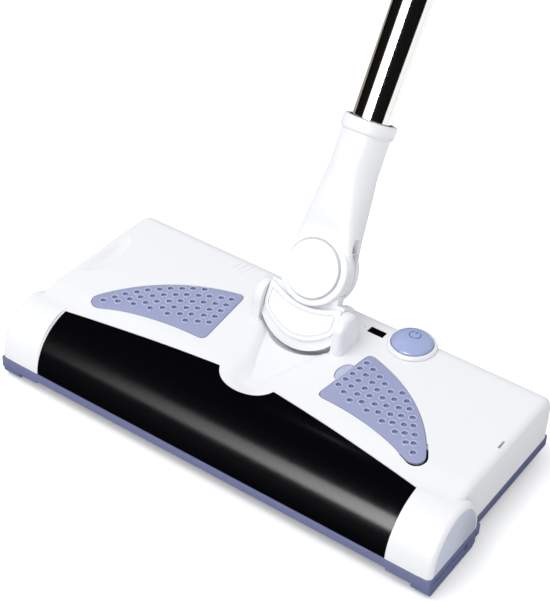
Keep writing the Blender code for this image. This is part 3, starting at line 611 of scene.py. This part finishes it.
def newTree(name, inputs):
    # named inputs: whole and real numbers, None for an object, and last the material
    kinds = {int: 'NodeSocketInt', float: 'NodeSocketFloat', type(None): 'NodeSocketObject'}
    tree = bpy.data.node_groups.new(name, 'GeometryNodeTree')
    tree.interface.new_socket("Geometry", in_out='INPUT', socket_type='NodeSocketGeometry')
    for label, value in inputs.items():
        socket = tree.interface.new_socket(label, in_out='INPUT', socket_type=kinds[type(value)])
        if value is not None:
            socket.default_value = value
    tree.interface.new_socket("Material", in_out='INPUT', socket_type='NodeSocketMaterial')
    tree.interface.new_socket("Geometry", in_out='OUTPUT', socket_type='NodeSocketGeometry')
    return tree, addNode(tree, "NodeGroupInput"), addNode(tree, "NodeGroupOutput")


def paintTree(tree, given, result, grown):
    # every tree ends by making its instances real and setting the material
    real = addNode(tree, "GeometryNodeRealizeInstances", {}, {0: grown.outputs[0]})
    painted = addNode(tree, "GeometryNodeSetMaterial", {},
                      {0: real.outputs[0], "Material": given.outputs["Material"]})
    tree.links.new(painted.outputs[0], result.inputs[0])
    return tree


def mathNode(tree, operation, first, second=None):
    node = addNode(tree, "ShaderNodeMath", {"operation": operation})
    for slot, value in ((0, first), (1, second)):
        if isinstance(value, (int, float)):
            node.inputs[slot].default_value = value
        elif value is not None:
            tree.links.new(value, node.inputs[slot])
    return node.outputs[0]


def growPiece(piece, tree, values, finish):
    # sets the tree's inputs by identifier, evaluates it once and keeps the plain mesh
    values["Material"] = finishes[finish]
    grow = piece.modifiers.new("grow", 'NODES')
    grow.node_group = tree
    for item in tree.interface.items_tree:
        if item.in_out == 'INPUT' and item.name in values:
            grow[item.identifier] = values[item.name]
    return bakeModifiers(piece)


def dimpleTree():
    # cuts a straight-sided cup at every point of the object given as Spots
    tree, given, result = newTree("dimpledPad", {"Spots": None, "Radius": 1.35 * mm, "Depth": 1.0 * mm})
    spots = addNode(tree, "GeometryNodeObjectInfo", {}, {"Object": given.outputs["Spots"]})
    points = addNode(tree, "GeometryNodeMeshToPoints", {}, {"Mesh": spots.outputs["Geometry"]})
    deep = mathNode(tree, 'MULTIPLY', given.outputs["Depth"], 2.0)
    drill = addNode(tree, "GeometryNodeMeshCylinder", {"Vertices": 24},
                    {"Radius": given.outputs["Radius"], "Depth": deep})
    drills = addNode(tree, "GeometryNodeInstanceOnPoints", {}, {"Points": points.outputs[0],
                                                               "Instance": drill.outputs["Mesh"]})
    solid = addNode(tree, "GeometryNodeRealizeInstances", {}, {0: drills.outputs[0]})
    cut = addNode(tree, "GeometryNodeMeshBoolean", {"operation": 'DIFFERENCE', "solver": 'EXACT'},
                  {0: given.outputs["Geometry"], 1: solid.outputs[0]})
    return paintTree(tree, given, result, cut)


def rimTree():
    # a low rounded ring at every point, in place of the points themselves
    tree, given, result = newTree("dimpleRims", {"Radius": 1.7 * mm, "Rim": 0.3 * mm})
    points = addNode(tree, "GeometryNodeMeshToPoints", {}, {"Mesh": given.outputs["Geometry"]})
    circle = addNode(tree, "GeometryNodeCurvePrimitiveCircle", {"Resolution": 24},
                     {"Radius": given.outputs["Radius"]})
    bead = addNode(tree, "GeometryNodeCurvePrimitiveCircle", {"Resolution": 10},
                   {"Radius": given.outputs["Rim"]})
    ring = addNode(tree, "GeometryNodeCurveToMesh", {}, {0: circle.outputs[0], 1: bead.outputs[0]})
    rings = addNode(tree, "GeometryNodeInstanceOnPoints", {},
                    {"Points": points.outputs[0], "Instance": ring.outputs[0]})
    return paintTree(tree, given, result, rings)


def makePads():
    tree, rings = dimpleTree(), rimTree()
    top = padTop
    pads = ((-1, "padLeft", "head", "grip_pad_left"), (1, "padRight", "lid", "battery_lid"))
    for side, name, body, node in pads:
        plan = padPlan(side, 0.15 * mm)
        pad = prismBetween(name, plan, top - 1.7 * mm, top - 0.1 * mm, 'Z')
        if side > 0:
            carve(pad, [prismBetween("tabRoom", tabPlan(-0.1 * mm), top - 2 * mm, top - 0.8 * mm)])
        roundEdges(pad, 0.35 * mm, 3, 50)
        spots = pointsPiece("spots", [(x, y, top - 0.1 * mm) for x, y in dimplePoints(side, plan)])
        growPiece(pad, tree, {"Spots": spots, "Radius": dimples["radius"], "Depth": dimples["depth"]},
                  "padSoftTouch")
        spots.name = name + "Rims"
        # the rims take the lighter tab colour: a painted highlight on their chamfer, over the real raised bead
        growPiece(spots, rings, {"Radius": dimples["ringRadius"], "Rim": dimples["rimWide"]}, "tabLavenderAndRimHighlight")
        spots.data.transform(headPlace)
        finishPiece(spots, "tabLavenderAndRimHighlight", body, [], 60)
        pad.data.transform(headPlace)
        finishPiece(pad, "padSoftTouch", body, [node], 30)
    tab = prismBetween("lidTab", tabPlan(0.05 * mm), top - 1.7 * mm, top - 0.85 * mm)
    roundEdges(tab, 0.25 * mm, 3, 50)
    tab.data.transform(headPlace)
    finishPiece(tab, "tabLavenderAndRimHighlight", "lid", [], 40)


makePads()
print("pads made")


def makeButton():
    centre = headPlace @ Matrix.Translation(at(57.5, 120.5, 0))
    top = cover["top"]
    dome = [(0, -4.8), (2.8, -4.8), (2.8, -0.8), (12.0, -0.8), (12.05, 2.6)]
    dome += [(12.05 * math.cos(a), 2.6 + 4.0 * math.sin(a) ** 1.25) for a in
             [math.radians(90 * i / 16) for i in range(1, 16)]] + [(0, 6.6)]
    button = turnedPiece("powerButton", [(r * mm, top + z * mm) for r, z in dome], 96, centre)
    finishPiece(button, "buttonGloss", "button", ["power_button"], 50)
    rim = [(12.4, -2.5), (13.1, -2.5), (13.1, 0.3), (14.5, 0.3), (14.4, 1.0), (14.1, 1.7), (13.6, 2.2),
           (13.0, 2.4), (12.5, 2.2)]
    bezel = turnedPiece("buttonBezel", [(r * mm, top + z * mm) for r, z in rim], 96, centre)
    finishPiece(bezel, "whiteAbs", "head", ["button_bezel"], 60)
    # the usual on and off sign, a broken ring and a bar, standing a hair proud
    lines = [[(3.3 * mm * math.cos(a), 3.3 * mm * math.sin(a)) for a in
              [math.radians(122 + 296 * i / 30) for i in range(31)]], [at(0, 0.6), at(0, 4.2)]]
    curve = bpy.data.curves.new("powerSign", 'CURVE')
    curve.dimensions = '3D'
    curve.bevel_depth = 0.32 * mm
    curve.bevel_resolution = 2
    curve.use_fill_caps = True
    for line in lines:
        spline = curve.splines.new('POLY')
        spline.points.add(len(line) - 1)
        for point, (x, y) in zip(spline.points, line):
            radius = math.hypot(x, y + 2.0 * mm)
            angle = math.acos(min(1.0, radius / (12.05 * mm)))
            point.co = (x, y + 2.0 * mm, top + (2.55 + 4.0 * math.sin(angle) ** 1.25) * mm, 1)
    drawn = addPiece("powerSignCurve", curve)
    mesh = evaluatedMesh(drawn)
    bpy.data.objects.remove(drawn, do_unlink=True)
    mesh.transform(centre)
    sign = addPiece("powerSign", mesh)
    finishPiece(sign, "symbolPrint", "button")


makeButton()


def makeBase():
    base = copyOfNode("baseTray", "base_frame")
    roundEdges(base, 0.5 * mm, 2, 40)
    finishPiece(base, "lavenderAbs", "head", ["base_frame"])
    lens = copyOfNode("batteryLens", "indicator_lens")
    roundEdges(lens, 0.3 * mm, 3, 40)
    finishPiece(lens, "smokedAcrylic", "head", ["indicator_lens"])


makeBase()
print("base made")


def ribTree():
    tree, given, result = newTree("raisedRibs", {"Length": 11 * mm, "Radius": 0.55 * mm, "Turn": 0.2})
    rod = addNode(tree, "GeometryNodeMeshCylinder", {"Vertices": 16, "Side Segments": 1},
                  {"Radius": given.outputs["Radius"], "Depth": given.outputs["Length"]})
    lay = addNode(tree, "ShaderNodeCombineXYZ", {"X": math.pi / 2}, {"Z": given.outputs["Turn"]})
    ribs = addNode(tree, "GeometryNodeInstanceOnPoints", {}, {"Points": given.outputs["Geometry"],
                                                             "Instance": rod.outputs["Mesh"],
                                                             "Rotation": lay.outputs[0]})
    return paintTree(tree, given, result, ribs)


def makeRibs():
    spots = [((-64.8 + 3.9 * i) * mm, 119.8 * mm, cover["top"] - 0.1 * mm) for i in range(3)]
    ribs = pointsPiece("coverRibs", spots)
    growPiece(ribs, ribTree(), {"Length": 11.5 * mm, "Radius": 0.6 * mm, "Turn": math.radians(-15)},
              "whiteAbs")
    roundEdges(ribs, 0.3 * mm, 3)
    ribs.data.transform(headPlace)
    finishPiece(ribs, "whiteAbs", "head")


makeRibs()


# The neck's frame: +Z along the handle from the tilt axis, -Y to its front
tiltPlace = headPlace @ Matrix.Translation((0, cover["tiltY"], cover["tiltZ"]))
tiltPlace = tiltPlace @ Matrix.Rotation(-handleLean, 4, 'X')
neck = {"swivelRise": 24.5 * mm, "moonCentre": 7.8 * mm, "moonRadius": 31 * mm, "plateFront": -5.3 * mm,
        "plateBack": -3.5 * mm}
handlePlace = tiltPlace @ Matrix.Translation((0, 0, neck["swivelRise"]))


def makeKnuckle():
    side = cover["earInner"] - 0.3 * mm
    rise = neck["swivelRise"]
    moon = rodBetween("neckKnuckle", neck["moonRadius"], (0, -3.2 * mm, neck["moonCentre"]),
                      (0, 9 * mm, neck["moonCentre"]), 120)
    belly = rodBetween("belly", cover["pocketRadius"] - 0.6 * mm, (-side, 0, 0), (side, 0, 0), 120)
    carve(moon, [belly], 'INTERSECT')
    tongue = rodBetween("tongue", 20.5 * mm, (0, -3.3 * mm, rise), (0, 3.3 * mm, rise), 96)
    root = blockBetween("root", at(-19, -3.25, -5), at(19, 3.25, 15))
    barrel = rodBetween("barrel", 10.5 * mm, (-side + 0.05 * mm, 0, 0), (side - 0.05 * mm, 0, 0), 72)
    carve(moon, [barrel], 'UNION')
    carve(moon, [rodBetween("forkRoom", 24.3 * mm, (0, -30 * mm, rise), (0, 30 * mm, rise), 120),
                 blockBetween("aboveHorns", at(-40, -30, 9.8), at(40, 30, 60))])
    carve(tongue, [root], 'UNION')
    carve(moon, [tongue], 'UNION')
    carve(moon, [rodBetween("pinHole", 3 * mm, at(-40, 0, 0), at(40, 0, 0), 32),
                 rodBetween("boltHole", 3.3 * mm, (0, -20 * mm, rise), (0, 20 * mm, rise), 32),
                 blockBetween("plateRoom", at(-30, -30, -30),
                              (30 * mm, neck["plateBack"] + 0.3 * mm, 12.5 * mm))])
    roundEdges(moon, 0.45 * mm, 2, 45)
    moon.data.transform(tiltPlace)
    finishPiece(moon, "whiteAbs", "neck", ["knuckle"], 40)


def crescentPlan(inset):
    # bulging lower edge, straight flanks and hollow upper edge, all in by the same amount
    outer, inner, flank = 30.4 * mm - inset, 45 * mm + inset, 24 * mm - inset
    below = 13 * mm - math.sqrt(outer ** 2 - flank ** 2)
    above = 47.7 * mm - math.sqrt(inner ** 2 - flank ** 2)
    turn = 3.4 * mm - inset * 0.5
    return softOutline([(-flank, below, turn, 13 * mm - outer - below), (flank, below, turn, 0.0),
                        (flank, above, turn, above - 47.7 * mm + inner), (-flank, above, turn, 0.0)])


def makeCrescent():
    front, back = neck["plateFront"], neck["plateBack"]
    plate = prismBetween("crescentCover", crescentPlan(0.0), front, back, 'Y')
    roundEdges(plate, 0.5 * mm, 3, 40)
    line = prismBetween("line", crescentPlan(2.4 * mm), front - 1 * mm, front + 0.75 * mm, 'Y')
    island = prismBetween("island", crescentPlan(3.2 * mm), front - 2 * mm, front + 2 * mm, 'Y')
    carve(line, [island])
    carve(plate, [line])
    plate.data.transform(tiltPlace)
    finishPiece(plate, "whiteAbs", "neck", ["crescent_cover"], 40)


makeKnuckle()
makeCrescent()
print("neck made")

# The socket's sections are level, half width and half depth along the handle, in millimetres
socket = {
    "sections": [(6.0, 20.6, 7.9), (14.0, 18.6, 8.1), (23.0, 17.2, 9.0), (33.0, 15.9, 11.2),
                 (42.0, 15.0, 12.6), (51.0, 14.5, 13.5), (60.0, 14.1, 14.0), (81.5, 14.0, 14.0)],
    "forkRadius": 21.1 * mm, "forkFace": 8.2 * mm, "forkGap": 3.6 * mm, "bore": 11.3 * mm, "mouth": 13 * mm,
}


def socketSize(level):
    rows = socket["sections"]
    for index, (start, stop) in enumerate(zip(rows, rows[1:])):
        if level <= stop[0] or index == len(rows) - 2:
            share = smoothStep((level - start[0]) / (stop[0] - start[0])) * 0.35
            share += 0.65 * min(1.0, (level - start[0]) / (stop[0] - start[0]))
            return start[1] + (stop[1] - start[1]) * share, start[2] + (stop[2] - start[2]) * share


def makeSocket():
    loops = []
    sides = 72
    for i in range(39):
        level = 6.0 + 75.5 * i / 38
        wide, deep = socketSize(level)
        power = 2 + 4.0 * max(0.0, (56 - level) / 56)   # squarer at the fork, round at the mouth
        loop = []
        for k in range(sides):
            c, s = math.cos(2 * math.pi * k / sides), math.sin(2 * math.pi * k / sides)
            loop.append((wide * mm * math.copysign(abs(c) ** (2 / power), c),
                         deep * mm * math.copysign(abs(s) ** (2 / power), s), level * mm))
        loops.append(loop)
    body = loftThrough("handleSocket", loops)
    face = socket["forkFace"]
    disc = rodBetween("disc", socket["forkRadius"], (0, -face, 0), (0, face, 0), 120)
    roundEdges(disc, 1.2 * mm, 4, 60)
    rim = turnedPiece("rim", [at(0, 80), at(14.3, 80), at(15.2, 80.8), at(15.5, 82),
                              at(15.5, 87), at(15.1, 87.8), at(14.5, 88), at(0, 88)], 96)
    carve(body, [disc], 'UNION')
    carve(body, [rim], 'UNION')
    gap = socket["forkGap"]
    slot = rodBetween("slot", 24 * mm, (0, -gap, 0), (0, gap, 0), 96)
    below = blockBetween("below", (-30 * mm, -gap + 0.01 * mm, -30 * mm), (30 * mm, gap - 0.01 * mm, 0))
    tools = [slot, below, rodBetween("mouth", socket["mouth"], at(0, 0, 80.5), at(0, 0, 100), 96),
             rodBetween("bore", socket["bore"], at(0, 0, 40), at(0, 0, 90), 96),
             rodBetween("boltHole", 3.3 * mm, at(0, -20, 0), at(0, 20, 0), 32),
             rodBetween("headRoom", 5.9 * mm, at(0, -20, 0), at(0, -5.9, 0), 32),
             roundEdges(blockBetween("notch", at(14.6, -5.0, 15.8), at(24, 1.2, 23.6)),
                        0.6 * mm)]
    seam = turnedPiece("seam", [at(16.8, 7.2), at(17.5, 7.2), at(17.5, 9),
                                at(16.8, 9)], 96, Matrix.Rotation(math.pi, 4, 'Z'), 'Y')
    carve(body, tools + [seam])
    body.data.transform(handlePlace)
    finishPiece(body, "whiteAbs", "handle", ["handle_socket"], 38)
    cap = turnedPiece("discCap", [at(0, 8.5), at(16.7, 8.5), at(16.7, 9.8), at(16.55, 10.2),
                                  at(16.2, 10.4), at(15.6, 10.45), at(8, 10.5),
                                  at(0, 10.5)], 120,
                      handlePlace @ Matrix.Rotation(math.pi, 4, 'Z'), 'Y')
    finishPiece(cap, "whiteAbs", "handle", ["disc_cap"], 40)


makeSocket()


def makeTubes():
    tubes = (("outerTube", "outer_tube", 11.0, 40.5, 440.0, "handle"),
             ("middleTube", "middle_tube", 10.1, 62.0, 470.0, "middle"),
             ("innerTube", "inner_tube", 9.2, 83.0, 600.0, "inner"))
    for name, node, radius, low, high, body in tubes:
        wall, lip = 0.5, 0.15
        profile = [(radius - wall, low), (radius - lip, low), (radius, low + lip), (radius, low + 1.2),
                   (radius, (low + high) / 2), (radius, high - 1.2), (radius, high - lip),
                   (radius - lip, high), (radius - wall, high)]
        tube = turnedPiece(name, inMetres(profile), 128, handlePlace)
        finishPiece(tube, "chromePlate", body, [node], 30)


def makeCollars():
    collars = (("lowerCollar", "lower_collar", 11.0, 10.1, 429.0, "lower_lock"),
               ("upperCollar", "upper_collar", 10.1, 9.2, 459.0, "upper_lock"))
    for name, node, below, above, base, body in collars:
        profile = [(below + 0.3, 0), (13.0, 0), (13.6, 0.8), (14.3, 3.2)]
        for i in range(9):   # gripping rings round the collar
            level = 4.5 + 2.0 * i
            profile += [(14.45, level), (14.45, level + 1.1), (14.0, level + 1.3), (14.0, level + 1.8)]
        profile += [(14.2, 22.8), (13.2, 26.2), (12.7, 27), (above + 0.3, 27), (above + 0.3, 11.3),
                    (below + 0.3, 11.3)]
        collar = turnedPiece(name, inMetres(profile, base), 72, handlePlace)
        finishPiece(collar, "blackNylon", body, [node], 30)


def makeGrip():
    base, end, bands = 489.0, 600.0, 22
    profile = [(9.5, base), (13.6, base), (14.4, base + 0.8)]
    for i in range(bands):
        share = (i + 0.5) / bands
        radius = 15.0 + 1.2 * math.sin(share * math.pi)
        level = base + 2.0 + (end - base - 4.0) * i / bands
        step = (end - base - 4.0) / bands
        profile += [(radius - 0.7, level), (radius, level + 0.25 * step), (radius, level + 0.7 * step)]
    profile += [(14.3, end - 1.4), (13.6, end), (9.5, end)]
    grip = turnedPiece("handGrip", inMetres(profile), 72, handlePlace)
    finishPiece(grip, "gripFoam", "inner", ["grip"], 60)
    cap = [(0, -6), (8.4, -6), (8.4, 0.3), (13.4, 0.3), (13.6, 1.2), (13.3, 3.2), (12.4, 5.4), (10.6, 7.6),
           (8, 9.1), (5, 9.9), (2, 10.3), (0, 10.4)]
    piece = turnedPiece("gripCap", inMetres(cap, end), 72, handlePlace)
    finishPiece(piece, "whiteAbs", "inner", ["grip_cap"], 45)


makeTubes()
makeCollars()
makeGrip()
print("handle made")


brush = {"rows": 6, "tufts": 58, "length": 216 * mm, "core": 8.5 * mm, "reach": 20.0 * mm,
         "twist": math.radians(240)}


def brushTree():
    # tufts in spiral rows: index to place along the roller and angle round it
    tree, given, result = newTree("bristleRows", {"Tufts": 58, "Rows": 6, "Length": 216 * mm,
                                                  "Core": 8.5 * mm, "Reach": 20 * mm, "Twist": 4.2,
                                                  "Strand": 0.35 * mm})

    def calc(*terms):
        return mathNode(tree, *terms)
    perTuft = 5
    tufts, rows = given.outputs["Tufts"], given.outputs["Rows"]
    total = calc('MULTIPLY', calc('MULTIPLY', tufts, rows), perTuft)
    line = addNode(tree, "GeometryNodeMeshLine", {}, {"Count": total})
    index = addNode(tree, "GeometryNodeInputIndex").outputs[0]
    tuft = calc('FLOOR', calc('DIVIDE', index, perTuft))
    strand = calc('MODULO', index, perTuft)
    row = calc('FLOOR', calc('DIVIDE', tuft, tufts))
    along = calc('MODULO', tuft, tufts)
    share = calc('SUBTRACT', calc('DIVIDE', along, calc('SUBTRACT', tufts, 1)), 0.5)
    spread = calc('MULTIPLY', calc('SUBTRACT', strand, (perTuft - 1) / 2), 0.55 * mm)
    x = calc('ADD', calc('MULTIPLY', share, given.outputs["Length"]), spread)
    base = calc('MULTIPLY', calc('DIVIDE', row, rows), 2 * math.pi)
    wobble = addNode(tree, "FunctionNodeRandomValue", {"data_type": 'FLOAT', "Seed": 7})
    wobble.inputs[2].default_value = -0.10
    wobble.inputs[3].default_value = 0.10
    angle = calc('ADD', calc('ADD', base, calc('MULTIPLY', calc('ABSOLUTE', share), given.outputs["Twist"])),
                 wobble.outputs[1])
    core = given.outputs["Core"]
    spot = addNode(tree, "ShaderNodeCombineXYZ", {},
                   {"X": x, "Y": calc('MULTIPLY', calc('COSINE', angle), core),
                    "Z": calc('MULTIPLY', calc('SINE', angle), core)})
    turn = addNode(tree, "ShaderNodeCombineXYZ", {}, {"X": calc('SUBTRACT', angle, math.pi / 2)})
    placed = addNode(tree, "GeometryNodeSetPosition", {},
                     {"Geometry": line.outputs[0], "Position": spot.outputs[0]})
    tall = calc('SUBTRACT', given.outputs["Reach"], core)
    cone = addNode(tree, "GeometryNodeMeshCone", {"Vertices": 5},
                   {"Radius Bottom": given.outputs["Strand"],
                    "Radius Top": calc('MULTIPLY', given.outputs["Strand"], 0.6), "Depth": tall})
    fur = addNode(tree, "GeometryNodeInstanceOnPoints", {},
                  {"Points": placed.outputs[0], "Instance": cone.outputs[0], "Rotation": turn.outputs[0]})
    return paintTree(tree, given, result, fur)


def makeBrush():
    low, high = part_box("brush_core")
    axis = (low + high) / 2
    bristles = pointsPiece("bristles", [(0, 0, 0)])
    growPiece(bristles, brushTree(),
              {"Tufts": brush["tufts"], "Rows": brush["rows"], "Length": brush["length"], "Core": brush["core"],
               "Reach": brush["reach"], "Twist": brush["twist"], "Strand": 0.38 * mm}, "brushNylon")
    bristles.data.transform(Matrix.Translation(axis))
    finishPiece(bristles, "brushNylon", "brush", ["brush_bristles"])
    core = [(2.2, 0), (7.6, 0), (8.3, 0.6), (8.3, 4)]
    for i in range(27):   # moulded rings along the core
        core += [(8.3, 6 + 8 * i), (8.6, 6.4 + 8 * i), (8.6, 7.6 + 8 * i), (8.3, 8 + 8 * i)]
    core += [(8.3, 223.4), (7.6, 224), (2.2, 224)]
    place = Matrix.Translation((low.x, axis.y, axis.z))
    roller = turnedPiece("brushCore", inMetres(core), 48, place, 'X')
    finishPiece(roller, "whiteAbs", "brush", ["brush_core"])


makeBrush()
print("brush made")


def makeWheels():
    sizes = {"rear": (1.8, 7.0), "front": (1.6, 5.6)}
    for end, (hole, wide) in sizes.items():
        for side in ("left", "right"):
            node = "%s_wheel_%s" % (end, side)
            low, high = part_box(node)
            radius = (high.z - low.z) / 2 / mm
            tread = [(hole, 0), (hole + 1.4, 0), (hole + 1.8, 0.5), (radius - 1.9, 0.5), (radius - 1.5, 0),
                     (radius - 0.6, 0), (radius - 0.1, 0.4)]
            for i in range(3):
                level = 0.9 + (wide - 1.8) * (i + 0.5) / 3
                tread += [(radius, level - 0.5), (radius, level - 0.1), (radius - 0.3, level),
                          (radius, level + 0.1), (radius, level + 0.5)]
            tread += [(radius - 0.1, wide - 0.4), (radius - 0.6, wide), (radius - 1.5, wide),
                      (radius - 1.9, wide - 0.5), (hole + 1.8, wide - 0.5), (hole + 1.4, wide), (hole, wide)]
            place = Matrix.Translation((low.x, (low.y + high.y) / 2, (low.z + high.z) / 2))
            name = end + side.capitalize() + "Wheel"
            wheel = turnedPiece(name, inMetres(tread), 64, place, 'X')
            finishPiece(wheel, "tyreRubber", node, [node])


makeWheels()


def screwTree():
    # one countersunk head with a cross recess, set at every point
    tree, given, result = newTree("caseScrews", {"Radius": 3.2 * mm, "Height": 1.6 * mm, "Slot": 0.7 * mm})
    head = addNode(tree, "GeometryNodeMeshCylinder", {"Vertices": 32}, {"Radius": given.outputs["Radius"],
                                                                      "Depth": given.outputs["Height"]})
    long = mathNode(tree, 'MULTIPLY', given.outputs["Radius"], 1.25)
    size = addNode(tree, "ShaderNodeCombineXYZ", {}, {"X": long, "Y": given.outputs["Slot"],
                                                      "Z": given.outputs["Height"]})
    bar = addNode(tree, "GeometryNodeMeshCube", {}, {"Size": size.outputs[0]})
    lower = addNode(tree, "GeometryNodeTransform", {"Translation": at(0, 0, -0.9)}, {0: bar.outputs[0]})
    cross = addNode(tree, "GeometryNodeTransform", {"Rotation": (0, 0, math.pi / 2)}, {0: lower.outputs[0]})
    cut = addNode(tree, "GeometryNodeMeshBoolean", {"operation": 'DIFFERENCE'}, {0: head.outputs[0]})
    tree.links.new(lower.outputs[0], cut.inputs[1])
    tree.links.new(cross.outputs[0], cut.inputs[1])
    heads = addNode(tree, "GeometryNodeInstanceOnPoints", {}, {"Points": given.outputs["Geometry"],
                                                              "Instance": cut.outputs[0]})
    return paintTree(tree, given, result, heads)


def makeScrews():
    spots = []
    nodes = ["case_screw_%d" % number for number in range(1, 5)]
    for node in nodes:
        low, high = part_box(node)
        spots.append(((low.x + high.x) / 2, (low.y + high.y) / 2, low.z + 0.8 * mm))
    screws = pointsPiece("caseScrews", spots)
    growPiece(screws, screwTree(), {"Radius": 3.1 * mm, "Height": 1.5 * mm, "Slot": 0.75 * mm}, "brightSteel")
    roundEdges(screws, 0.12 * mm, 2, 50)
    finishPiece(screws, "brightSteel", "head", nodes)


makeScrews()


def makeDrawer():
    tray = copyOfNode("dustTray", "dust_tray")
    roundEdges(tray, 0.6 * mm, 3, 40)
    finishPiece(tray, "greyNylon", "tray", ["dust_tray"])
    blade = copyOfNode("scraperBlade", "scraper_blade")
    roundEdges(blade, 0.15 * mm, 2, 25)
    finishPiece(blade, "tyreRubber", "head", ["scraper_blade"])


makeDrawer()

def makeSpring():
    # the button's return spring, a copy of the CAD mesh with a mesh of its own
    spring = copyOfNode("pressSpring", "button_spring")
    finishPiece(spring, "brightSteel", "head", ["button_spring"], 60)
    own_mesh(spring)


makeSpring()

# Carried-over CAD nodes take a finish of their own
carried = {
    "blackNylon": ["battery_box", "charge_socket", "push_switch"],
    "boardEpoxy": ["circuit_board"],
    "brightSteel": ["front_axle_left", "front_axle_right", "motor", "rear_axle_left", "rear_axle_right",
                    "roller_shaft", "swivel_bolt", "tilt_pin"],
    "cellWrap": ["battery_cell_1", "battery_cell_2"],
    "greyNylon": ["inner_plug", "middle_plug", "motor_pulley", "motor_saddle", "roller_bearing_left",
                  "roller_bearing_right", "roller_pulley"],
    "lampLens": ["indicator_lamp"],
    "leadPvc": ["battery_lead", "motor_lead"],
    "tyreRubber": ["drive_belt"],
}
for finish, nodes in carried.items():
    for node in nodes:
        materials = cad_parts[node].data.materials
        materials.clear()
        materials.append(finishes[finish])
print("carried nodes painted:", sum(map(len, carried.values())))

# Stage, light and camera; the dark surround seen in gloss is what a black-lined studio gives
studio = {"surround": 0.78, "reflected": 0.008, "backdrop": 1.05, "key": 11.5}


def makeFloor():
    floor = prismBetween("studioFloor", [(-6, -6), (6, -6), (6, 6), (-6, 6)], -0.02, 0.0)
    white = linearColour("#ffffff")
    material, tree, shader = newMaterial("paleFloor")
    setInputs(shader, {"Roughness": 0.9, "Specular IOR Level": 0.1, "Emission Color": white})
    path = addNode(tree, "ShaderNodeLightPath")
    shade = addNode(tree, "ShaderNodeMix", {"data_type": 'RGBA'}, {0: path.outputs["Is Glossy Ray"]})
    setInputs(shade, {6: white, 7: linearColour("#020202")})
    tree.links.new(shade.outputs[2], shader.inputs["Base Color"])
    # the pale table looks a little brighter than it lights
    lift = mathNode(tree, 'MULTIPLY', path.outputs["Is Camera Ray"], 0.2)
    tree.links.new(lift, shader.inputs["Emission Strength"])
    floor.data.materials.append(material)


def makeWorld():
    world = bpy.data.worlds.new("studio")
    world.use_nodes = True
    sky = world.node_tree
    path = addNode(sky, "ShaderNodeLightPath")
    surround = addNode(sky, "ShaderNodeMix", {"data_type": 'FLOAT'}, {0: path.outputs["Is Glossy Ray"]})
    setInputs(surround, {2: studio["surround"], 3: studio["reflected"]})
    backdrop = addNode(sky, "ShaderNodeMix", {"data_type": 'FLOAT'},
                       {0: path.outputs["Is Camera Ray"], 2: surround.outputs[0]})
    setInputs(backdrop, {3: studio["backdrop"]})
    setInputs(sky.nodes["Background"], {"Color": (1, 1, 1, 1)})
    sky.links.new(backdrop.outputs[0], sky.nodes["Background"].inputs["Strength"])
    bpy.context.scene.world = world
    bpy.context.scene.view_settings.view_transform = 'Standard'


def softBox(name, place, target, wide, tall, power):
    light = bpy.data.lights.new(name, 'AREA')
    light.shape = 'RECTANGLE'
    light.size = wide
    light.size_y = tall
    light.energy = power
    lamp = addPiece(name, light)
    lamp.location = place
    lamp.visible_glossy = False
    lamp.rotation_euler = (Vector(target) - Vector(place)).to_track_quat('-Z', 'Y').to_euler()


def makeCard(name, corner, across, up, colour, strength, fade=None):
    # a bright sheet seen only in gloss: the streak on the window and the bands along the tubes
    corner, across, up = Vector(corner), Vector(across), Vector(up)
    bm = bmesh.new()
    bm.faces.new([bm.verts.new(corner + along) for along in (0 * up, across, across + up, up)])
    card = pieceFrom(name, bm)
    material = bpy.data.materials.new(name)
    material.use_nodes = True
    tree = material.node_tree
    tree.nodes.clear()
    glow = addNode(tree, "ShaderNodeEmission", {"Strength": strength, "Color": linearColour(colour)})
    output = addNode(tree, "ShaderNodeOutputMaterial")
    if fade:   # strength grows from left to right between the two places given
        place = addNode(tree, "ShaderNodeTexCoord").outputs["Object"]
        apart = addNode(tree, "ShaderNodeSeparateXYZ", {}, {0: place})
        grow = addNode(tree, "ShaderNodeMapRange",
                       {"interpolation_type": 'SMOOTHSTEP', "From Min": fade[0], "From Max": fade[1],
                        "To Min": fade[2], "To Max": strength}, {"Value": apart.outputs["X"]})
        tree.links.new(grow.outputs["Result"], glow.inputs["Strength"])
    tree.links.new(glow.outputs[0], output.inputs["Surface"])
    card.data.materials.append(material)
    for ray in ("visible_camera", "visible_diffuse", "visible_shadow", "visible_transmission"):
        setattr(card, ray, False)


def makeCamera():
    azimuth, elevation, roll = math.radians(33.31), math.radians(37.83), math.radians(2.98)
    back = Vector((math.sin(azimuth) * math.cos(elevation), -math.cos(azimuth) * math.cos(elevation),
                   math.sin(elevation)))
    right = Vector((math.cos(azimuth), math.sin(azimuth), 0))
    up = back.cross(right)
    across = right * math.cos(roll) + up * math.sin(roll)
    above = up * math.cos(roll) - right * math.sin(roll)
    data = bpy.data.cameras.new("studioCamera")
    data.lens = 95.54
    data.sensor_width = 36
    camera = addPiece("studioCamera", data)
    axes = Matrix((across, above, back)).transposed().to_4x4()
    camera.matrix_world = Matrix.Translation((0.3745, -0.712554, 0.6139)) @ axes
    bpy.context.scene.camera = camera


makeFloor()
makeWorld()
makeCard("streakCard", (-0.56, -0.95, 0.24), (0.88, 0, 0), (0, 0, 0.52), "#ffffff", 12.0, (-0.52, 0.05, 1.5))
makeCard("bandCard", (0.30, -0.10, 0.004), (0.90, 0, 0), (0, 0.80, 0), "#ffffff", 1.2)
makeCard("edgeCard", (-0.06, 0.12, 0.004), (0.35, 0, 0), (0, 0.58, 0), "#ffffff", 1.2)
makeCard("warmCard", (-1.1, -0.30, 0.004), (0.85, 0, 0), (0, 0.90, 0), "#c4b9aa", 0.75)
softBox("keyLight", (-0.35, -0.7, 1.5), (0, -0.14, 0.05), 1.0, 1.0, studio["key"])
makeCamera()
print("stage made")
